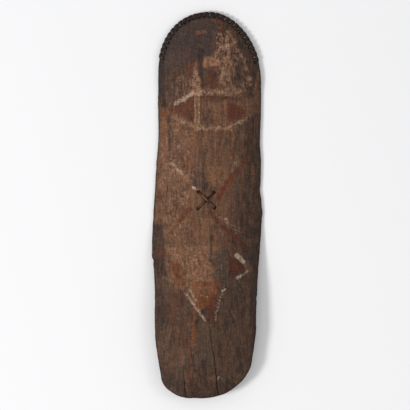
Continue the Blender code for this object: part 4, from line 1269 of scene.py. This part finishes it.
def cross_strand(sizes):
    """The crossing strand: a slightly fluted round section carried along its path, with round ends."""
    path = curve_through(cross_path(sizes), STRAND_STEPS)
    path, rubbed = path[:, :3], np.clip(path[:, 3], 0.0, 1.0)
    side, other = carried_frames(path)
    run = distance_along(path)
    turn = round_turn(CORD_SIDES)
    ends = np.minimum(run, run[-1] - run)
    inside = np.clip(1.0 - ends / CORD_END_ROUND, 0.0, 1.0)
    radius = CORD_DIAMETER / 2 * np.sqrt(1.0 - inside ** 2) * (1.0 + noise("cord's width", run, 0.0))
    flute = 1.0 + sum(size * np.cos(sides * turn[None, :] + twist * run[:, None])
                      for sides, size, twist in CORD_FLUTES)
    ring = path[:, None, :] + radius[:, None, None] * flute[:, :, None] * (
        side[:, None, :] * np.cos(turn)[None, :, None] + other[:, None, :] * np.sin(turn)[None, :, None])
    # A painted highlight on the strand's upper side, where it is also rubbed, by the path's share of it
    up = (ring[:, :, 2] - path[:, None, 2]) / (CORD_DIAMETER / 2)
    rub_and_highlight_share = smooth_step((up - CORD_RUB_AND_HIGHLIGHT_FROM) / (1.0 - CORD_RUB_AND_HIGHLIGHT_FROM)) * rubbed[:, None]
    return ring, straightened(turn, run, CORD_DIAMETER, CORD_DIAMETER), rub_and_highlight_share


def strand_object(name, rows, straight, rub_and_highlight_share):
    """A closed strand mesh that keeps, for its finish, each point's place on the straightened strand
    and how strong its painted highlight is where it is rubbed."""
    points, faces, first = closed_skin(rows)
    made = new_object(name, points, faces)
    store(made.data, "strand_place", straight.reshape(-1, 3)[first], "FLOAT_VECTOR", "vector")
    store(made.data, "worn", rub_and_highlight_share.reshape(-1)[first])
    made.data.shade_smooth()
    return made


class Graph:
    """Short calls for building a node tree. An input may be a number, a colour or a socket."""

    def __init__(self, tree):
        self.tree = tree

    def fill(self, socket, value):
        """Links a socket into an input, or sets the number or colour that it holds."""
        if isinstance(value, bpy.types.NodeSocket):
            self.tree.links.new(value, socket)
        elif socket.type == "RGBA":
            socket.default_value = (*value, 1.0)[:4]
        else:
            socket.default_value = value

    def put(self, kind, inputs=None, **settings):
        """Adds a node, sets its settings and fills its inputs by name or number."""
        node = self.tree.nodes.new(kind)
        for key, value in settings.items():
            setattr(node, key, value)
        for key, value in (inputs or {}).items():
            self.fill(node.inputs[key], value)
        return node

    def sums(self, operation, first, second, clamp=False):
        """A Math node's value."""
        return self.put("ShaderNodeMath", {0: first, 1: second}, operation=operation,
                        use_clamp=clamp).outputs[0]

    def times(self, first, second):
        """The product of two values."""
        return self.sums("MULTIPLY", first, second)

    def plus(self, first, second):
        """The sum of two values."""
        return self.sums("ADD", first, second)

    def spread(self, value, low, high, to_low=0.0, to_high=1.0):
        """A value stretched from one range to another and held inside it."""
        return self.put("ShaderNodeMapRange", {0: value, 1: low, 2: high, 3: to_low, 4: to_high}).outputs[0]

    def blend(self, share, first, second):
        """Two colours mixed by a share."""
        return self.put("ShaderNodeMix", {0: share, 6: first, 7: second}, data_type="RGBA",
                        clamp_factor=True).outputs[2]

    def noise(self, place, scale, detail, roughness):
        """A cloudy noise's value."""
        return self.put("ShaderNodeTexNoise", {"Vector": place, "Scale": scale, "Detail": detail,
                                               "Roughness": roughness}).outputs[0]

    def stored(self, name, output="Fac"):
        """A value that the piece's points carry."""
        return self.put("ShaderNodeAttribute", attribute_name=name).outputs[output]

    def group(self, name, place, **inputs):
        """The value of a shared node group at a place."""
        return self.put("ShaderNodeGroup", {"Place": place, **inputs},
                        node_tree=bpy.data.node_groups[name]).outputs[0]

    def streaks(self, place, width, length, detail):
        """The shared streaks, by their width and length in mm and their levels of detail."""
        return self.group("streaks", place, Width=width, Length=length, Detail=detail)

    def pigment(self, place, cover, width, length, crispness):
        """The shared dry pigment, by its cover, the size of its blots in mm and its crispness."""
        return self.group("dry pigment", place, Cover=cover, Width=width, Length=length, Crispness=crispness)

    def flecks(self, place, size, amount):
        """The shared flecks, by their size in mm and their amount."""
        return self.group("flecks", place, Size=size, Amount=amount)


def new_group(name, output, **numbers):
    """Starts a shared node group that takes a place and named numbers and gives one value."""
    tree = bpy.data.node_groups.new(name, "ShaderNodeTree")
    tree.interface.new_socket(name="Place", in_out="INPUT", socket_type="NodeSocketVector")
    for socket, default in numbers.items():
        made = tree.interface.new_socket(name=socket, in_out="INPUT", socket_type="NodeSocketFloat")
        made.default_value = default
    tree.interface.new_socket(name=output, in_out="OUTPUT", socket_type="NodeSocketFloat")
    graph = Graph(tree)
    return graph, graph.put("NodeGroupInput").outputs, graph.put("NodeGroupOutput").inputs[0]


def make_groups():
    """Builds the shared effects once: streaks along the grain, dry pigment and flecks."""
    if "streaks" in bpy.data.node_groups:
        return
    graph, given, out = new_group("streaks", "Value", Width=2.0, Length=60.0, Detail=3.0)
    # Noise stretched along the grain: x and z are divided by the width, y by the length, both in mm
    parts = graph.put("ShaderNodeSeparateXYZ", {0: given["Place"]}).outputs
    across = graph.sums("DIVIDE", MM_PER_METRE, given["Width"])
    along = graph.sums("DIVIDE", MM_PER_METRE, given["Length"])
    scaled = [graph.times(part, scale) for part, scale in zip(parts, (across, along, across))]
    place = graph.put("ShaderNodeCombineXYZ", dict(enumerate(scaled))).outputs[0]
    graph.fill(out, graph.spread(graph.noise(place, 1.0, given["Detail"], 0.58), 0.26, 0.74))

    graph, given, out = new_group("dry pigment", "Mask", Cover=0.5, Width=3.0, Length=7.0, Crispness=3.0)
    # Pigment lies where the cover is higher than a noise of blots and fine streaks
    blots = graph.streaks(given["Place"], given["Width"], given["Length"], detail=4.0)
    fine = graph.streaks(given["Place"], width=2.0, length=15.0, detail=2.0)
    noise_here = graph.plus(graph.times(blots, 0.72), graph.times(fine, 0.28))
    over = graph.sums("SUBTRACT", graph.times(given["Cover"], 1.12), noise_here)
    mask = graph.sums("ADD", graph.times(over, given["Crispness"]), 0.5, clamp=True)
    graph.fill(out, graph.times(mask, graph.spread(given["Cover"], 0.02, 0.14)))

    graph, given, out = new_group("flecks", "Mask", Size=3.0, Amount=0.2)
    # Small spots where a noise of the given size in mm is highest
    spots = graph.noise(given["Place"], graph.sums("DIVIDE", MM_PER_METRE, given["Size"]), 2.5, 0.65)
    edge = graph.sums("SUBTRACT", 0.80, graph.times(given["Amount"], 0.4))
    graph.fill(out, graph.spread(spots, edge, graph.plus(edge, 0.08)))


def new_material(name):
    """An empty node material with its shader."""
    make_groups()
    made = bpy.data.materials.new(name)
    made.use_nodes = True
    shader = made.node_tree.nodes["Principled BSDF"]
    shader.inputs["Metallic"].default_value = 0.0
    return made, Graph(made.node_tree), shader


def surface(graph, shader, specular, colour, rough, height=None, depth=0.0, strength=0.0):
    """Fills the shader: its weak shine, colour, roughness and, where a height is given, its bump."""
    values = {"Specular IOR Level": specular, "Base Color": colour, "Roughness": rough}
    if height is not None:
        values["Normal"] = graph.put("ShaderNodeBump", {"Height": height, "Distance": depth,
                                                        "Strength": strength}).outputs[0]
    for socket, value in values.items():
        graph.fill(shader.inputs[socket], value)


def shaded(colour, share):
    """A colour times a share, with no part over 1."""
    return [min(1.0, part * share) for part in colour]


def swing(graph, grain, start, **amounts):
    """A start plus, for each named streak, its height over the middle times an amount."""
    for name, amount in amounts.items():
        start = graph.plus(start, graph.times(graph.sums("SUBTRACT", grain[name], 0.5), amount))
    return start


def wood_front(graph, grain, place, colours):
    """The painted side: bare wood in streaks between a dark and a light tone, the coats one over
    another, then light flecks, pores, dirt along the laced rim, a dark edge and uneven marks."""
    tone = swing(graph, grain, grain["tone"], mottle=0.46, band=0.36, line=0.30, fibre=0.22)
    front = graph.blend(graph.spread(tone, 0.0, 1.0), colours.dark_wood, colours.light_wood)
    front = graph.blend(graph.spread(grain["warm"], 0.48, 0.90, 0.0, 0.50), front, colours.warm_wood)
    front = graph.blend(graph.spread(grain["cool"], 0.44, 0.90, 0.0, 0.60), front, colours.cool_wood)
    clumps = graph.spread(grain["clumps"], 0.28, 0.74, 0.45, 1.50)
    for stored, pigment, share, width, length, crispness, shade, thinned in COATS:
        cover = graph.times(graph.stored(stored), clumps if thinned == "clumps" else thinned)
        mask = graph.pigment(place, cover, width, length, crispness)
        colour = getattr(colours, pigment)
        varied = graph.blend(graph.times(grain["fibre"], shade), colour, shaded(colour, 0.55))
        front = graph.blend(graph.times(mask, share), front, varied)
    front = graph.blend(graph.times(grain["flecks"], 0.30), front, colours.flake)
    front = graph.blend(graph.times(graph.spread(grain["pore"], 0.30, 0.10), 0.42), front, colours.soot)
    rim = graph.pigment(place, graph.stored("rim"), width=5.0, length=7.0, crispness=1.5)
    front = graph.blend(graph.times(rim, 0.85), front, colours.rim_strand)
    worn_edge = graph.times(graph.stored("edge"), graph.spread(grain["mottle"], 0.1, 0.7, 0.25, 0.75))
    front = graph.blend(worn_edge, front, colours.soot)
    marks = swing(graph, grain, 0.98, line=0.50, blot=0.64, cross=0.54)
    return graph.put("ShaderNodeVectorMath", {0: front, "Scale": marks}, operation="SCALE").outputs[0]


def wood_back(graph, grain, colours):
    """The bare side: streaks between a dark and a light tone of the wood behind, then stains, pores,
    light flecks and the grease of the hand round the grip."""
    tone = swing(graph, grain, 0.46, fibre=0.40, hair=0.42, mottle=0.22, line=0.22, band=0.40, tone=0.30)
    dark, light = (shaded(colours.back_wood, share) for share in (0.34, 1.75))
    back = graph.blend(graph.spread(tone, 0.0, 1.0), dark, light)
    back = graph.blend(graph.spread(grain["warm"], 0.50, 0.95, 0.0, 0.32), back, colours.warm_wood)
    back = graph.blend(graph.spread(grain["cool"], 0.50, 0.95, 0.0, 0.36), back, colours.cool_wood)
    back = graph.blend(graph.times(graph.spread(grain["pore"], 0.36, 0.16), 0.75), back, colours.soot)
    back = graph.blend(graph.times(grain["flecks"], 0.14), back, colours.light_wood)
    grease = graph.times(graph.stored("handled"), graph.spread(grain["mottle"], 0.1, 0.8, 0.5, 0.9))
    return graph.blend(grease, back, shaded(colours.back_wood, 0.42))


def wood_finish(colours):
    """Painted wood: the painted and the bare side by the stored side, painted shade in holes and
    cracks and painted shadow beside the crossing strand, and a fine bump from the grain. The grain's
    place is bent a little from side to side."""
    made, graph, shader = new_material("painted_wood")
    place = graph.put("ShaderNodeTexCoord").outputs["Object"]
    slow = graph.streaks(place, *BEND_GRAIN)
    shift = graph.times(graph.sums("SUBTRACT", slow, 0.5), GRAIN_BEND)
    bend = graph.put("ShaderNodeCombineXYZ", {0: shift}).outputs[0]
    place = graph.put("ShaderNodeVectorMath", {0: place, 1: bend}, operation="ADD").outputs[0]
    grain = {name: graph.streaks(place, *size) for name, size in GRAIN.items()}
    grain["tone"] = graph.stored("tone")
    grain["flecks"] = graph.flecks(place, size=3.4, amount=0.40)
    colour = graph.blend(graph.stored("face"), wood_back(graph, grain, colours),
                         wood_front(graph, grain, place, colours))
    # Painted shade and shadow: holes, cracks and the strand's sides darkened towards a dim soot colour
    dirt = graph.sums("MAXIMUM", graph.stored("dirt"), graph.stored("depth"))
    colour = graph.blend(graph.times(dirt, 0.80), colour, shaded(colours.soot, 0.5))
    rough = graph.spread(graph.plus(grain["fibre"], graph.stored("white")), 0.0, 1.6, 0.56, 0.88)
    height = graph.plus(graph.times(grain["fibre"], 0.45), graph.times(grain["pore"], 0.35))
    height = graph.plus(height, graph.times(grain["blot"], 0.5))
    surface(graph, shader, 0.14, colour, rough, height, depth=0.00045, strength=0.7)
    return made


def strand_finish(name, colour, rub_and_highlight_colour, roughness, specular, width, length):
    """A plant strand: fibres run along it, its crowns are rubbed lighter with a painted highlight and dirt
    lies between.
    """
    made, graph, shader = new_material(name)
    parts = graph.put("ShaderNodeSeparateXYZ", {0: graph.stored("strand_place", "Vector")}).outputs
    place = graph.put("ShaderNodeCombineXYZ", {0: parts[0], 1: parts[2], 2: parts[1]}).outputs[0]
    fibre = graph.streaks(place, width, length, detail=3.0)
    blot = graph.streaks(place, width=5.0, length=18.0, detail=2.0)
    tone = graph.plus(graph.times(fibre, 0.6), graph.times(blot, 0.4))
    shade = graph.blend(tone, shaded(colour, 0.42), colour)
    # Painted highlight on the rubbed crowns, blended towards the highlight colour
    worn = graph.times(graph.stored("worn"), graph.spread(fibre, 0.25, 0.8, 0.25, 1.0))
    shade = graph.blend(worn, shade, rub_and_highlight_colour)
    flecks = graph.flecks(place, size=2.4, amount=0.30)
    shade = graph.blend(graph.times(flecks, 0.35), shade, shaded(rub_and_highlight_colour, 2.4))
    rough = graph.spread(fibre, 0.0, 1.0, roughness - 0.08, roughness + 0.14)
    surface(graph, shader, specular, shade, rough, fibre, depth=0.0003, strength=0.8)
    return made


class SHIELD_OT_board(Operator):
    """Builds the painted board with its holes and cracks"""
    bl_idname = "shield.board"
    bl_label = "Board"

    def execute(self, context):
        sizes = context.scene.shield_sizes
        points, faces, _ = closed_skin(board_rows(sizes))
        board = new_object("painted_board", points, faces)
        cut_board(board, [hole_shells(sizes, RIM_HOLES, RIM_HOLE_DIAMETER),
                          hole_shells(sizes, MIDDLE_HOLES, CROSS_HOLE_DIAMETER),
                          crack_shell(sizes, MAIN_CRACK, seed=61),
                          crack_shell(sizes, SIDE_CRACK, seed=63)])
        board.data.shade_smooth()
        board.data.set_sharp_from_angle(angle=np.radians(SHARP_DEGREES))
        finish_board(sizes, board)
        board.data.materials.clear()
        board.data.materials.append(wood_finish(context.scene.shield_colours))
        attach(board, "root")
        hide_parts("board")
        return {"FINISHED"}


class SHIELD_OT_rim_lacing(Operator):
    """Builds the strand that is whipped round the rim"""
    bl_idname = "shield.rim_lacing"
    bl_label = "Rim lacing"

    def execute(self, context):
        sizes, colours = context.scene.shield_sizes, context.scene.shield_colours
        made = strand_object("rim_strand", *rim_strand(sizes))
        made.data.materials.append(strand_finish("rim_strand", colours.rim_strand, colours.rim_highlight,
                                                 roughness=0.66, specular=0.16, width=0.8, length=14.0))
        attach(made, "root")
        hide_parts("rim_lacing")
        return {"FINISHED"}


class SHIELD_OT_cross_lacing(Operator):
    """Builds the strand that crosses in the middle and forms the grip behind"""
    bl_idname = "shield.cross_lacing"
    bl_label = "Crossing strand"

    def execute(self, context):
        sizes, colours = context.scene.shield_sizes, context.scene.shield_colours
        made = strand_object("crossing_strand", *cross_strand(sizes))
        made.data.materials.append(strand_finish("cross_strand", colours.cross_strand, colours.cross_rub_and_highlight,
                                                 roughness=0.55, specular=0.12, width=0.9, length=30.0))
        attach(made, "root")
        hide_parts("cross_lacing")
        return {"FINISHED"}


class SHIELD_OT_stage(Operator):
    """Builds the floor, the lights and the camera"""
    bl_idname = "shield.stage"
    bl_label = "Stage"

    def execute(self, context):
        stage, scene = context.scene.shield_stage, context.scene
        corners = FLOOR_REACH * np.array([(-1, -1, 0), (1, -1, 0), (1, 1, 0), (-1, 1, 0)], float)
        floor = new_object("floor", corners, [[0, 1, 2, 3]])
        paper, graph, shader = new_material("pale_floor")
        surface(graph, shader, specular=0.1, colour=scene.shield_colours.floor, rough=0.9)
        floor.data.materials.append(paper)
        for name, azimuth, elevation, power in LIGHTS:
            lamp = bpy.data.lights.new(name, "AREA")
            lamp.shape, lamp.size, lamp.energy = "SQUARE", stage.light_size, getattr(stage, power)
            turn, rise = np.radians(azimuth), np.radians(elevation)
            way = Vector((np.cos(rise) * np.cos(turn), np.cos(rise) * np.sin(turn), np.sin(rise)))
            light = placed(name, lamp)
            light.location = LIGHT_TARGET + way * stage.light_distance
            light.rotation_euler = way.to_track_quat("Z", "Y").to_euler()
        world = scene.world or bpy.data.worlds.new("studio")
        scene.world = world
        world.use_nodes = True
        sky = world.node_tree.nodes["Background"]
        sky.inputs["Color"].default_value = (1.0, 1.0, 1.0, 1.0)
        sky.inputs["Strength"].default_value = stage.sky
        lens = bpy.data.cameras.new("camera")
        lens.sensor_width = FILM_WIDTH
        lens.lens = FILM_WIDTH * stage.camera_height / stage.view_height
        lens.clip_end = SIGHT_LIMIT
        camera = placed("camera", lens)
        camera.location = (*on_board([PICTURE_CENTRE])[0], stage.camera_height + FACE_HEIGHT)
        scene.camera = camera
        scene.view_settings.view_transform = "Standard"
        return {"FINISHED"}


class SHIELD_PT_panel(Panel):
    """Lists the shield's sizes, colours and makers"""
    bl_label = "Battle shield"
    bl_idname = "SHIELD_PT_panel"
    bl_space_type = "VIEW_3D"
    bl_region_type = "UI"
    bl_category = "Shield"

    def draw(self, context):
        for group in GROUPS:
            box = self.layout.box()
            for name in GROUPS[group].__annotations__:
                box.prop(getattr(context.scene, group), name)
        for step in STEPS:
            self.layout.operator(step.bl_idname)


GROUPS = {"shield_sizes": ShieldSizes, "shield_colours": ShieldColours, "shield_stage": ShieldStage}
STEPS = (SHIELD_OT_board, SHIELD_OT_rim_lacing, SHIELD_OT_cross_lacing, SHIELD_OT_stage)
CLASSES = (*GROUPS.values(), *STEPS, SHIELD_PT_panel)


def register():
    """Registers the classes and hangs the three groups of properties on the scene."""
    for item in CLASSES:
        bpy.utils.register_class(item)
    for name, group in GROUPS.items():
        setattr(bpy.types.Scene, name, PointerProperty(type=group))


def unregister():
    """Takes the groups off the scene and the classes out, last first."""
    for name in GROUPS:
        delattr(bpy.types.Scene, name)
    for item in reversed(CLASSES):
        bpy.utils.unregister_class(item)


def main():
    """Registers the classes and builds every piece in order."""
    register()
    bpy.ops.shield.board()
    bpy.ops.shield.rim_lacing()
    bpy.ops.shield.cross_lacing()
    bpy.ops.shield.stage()


if __name__ == "__main__":
    main()
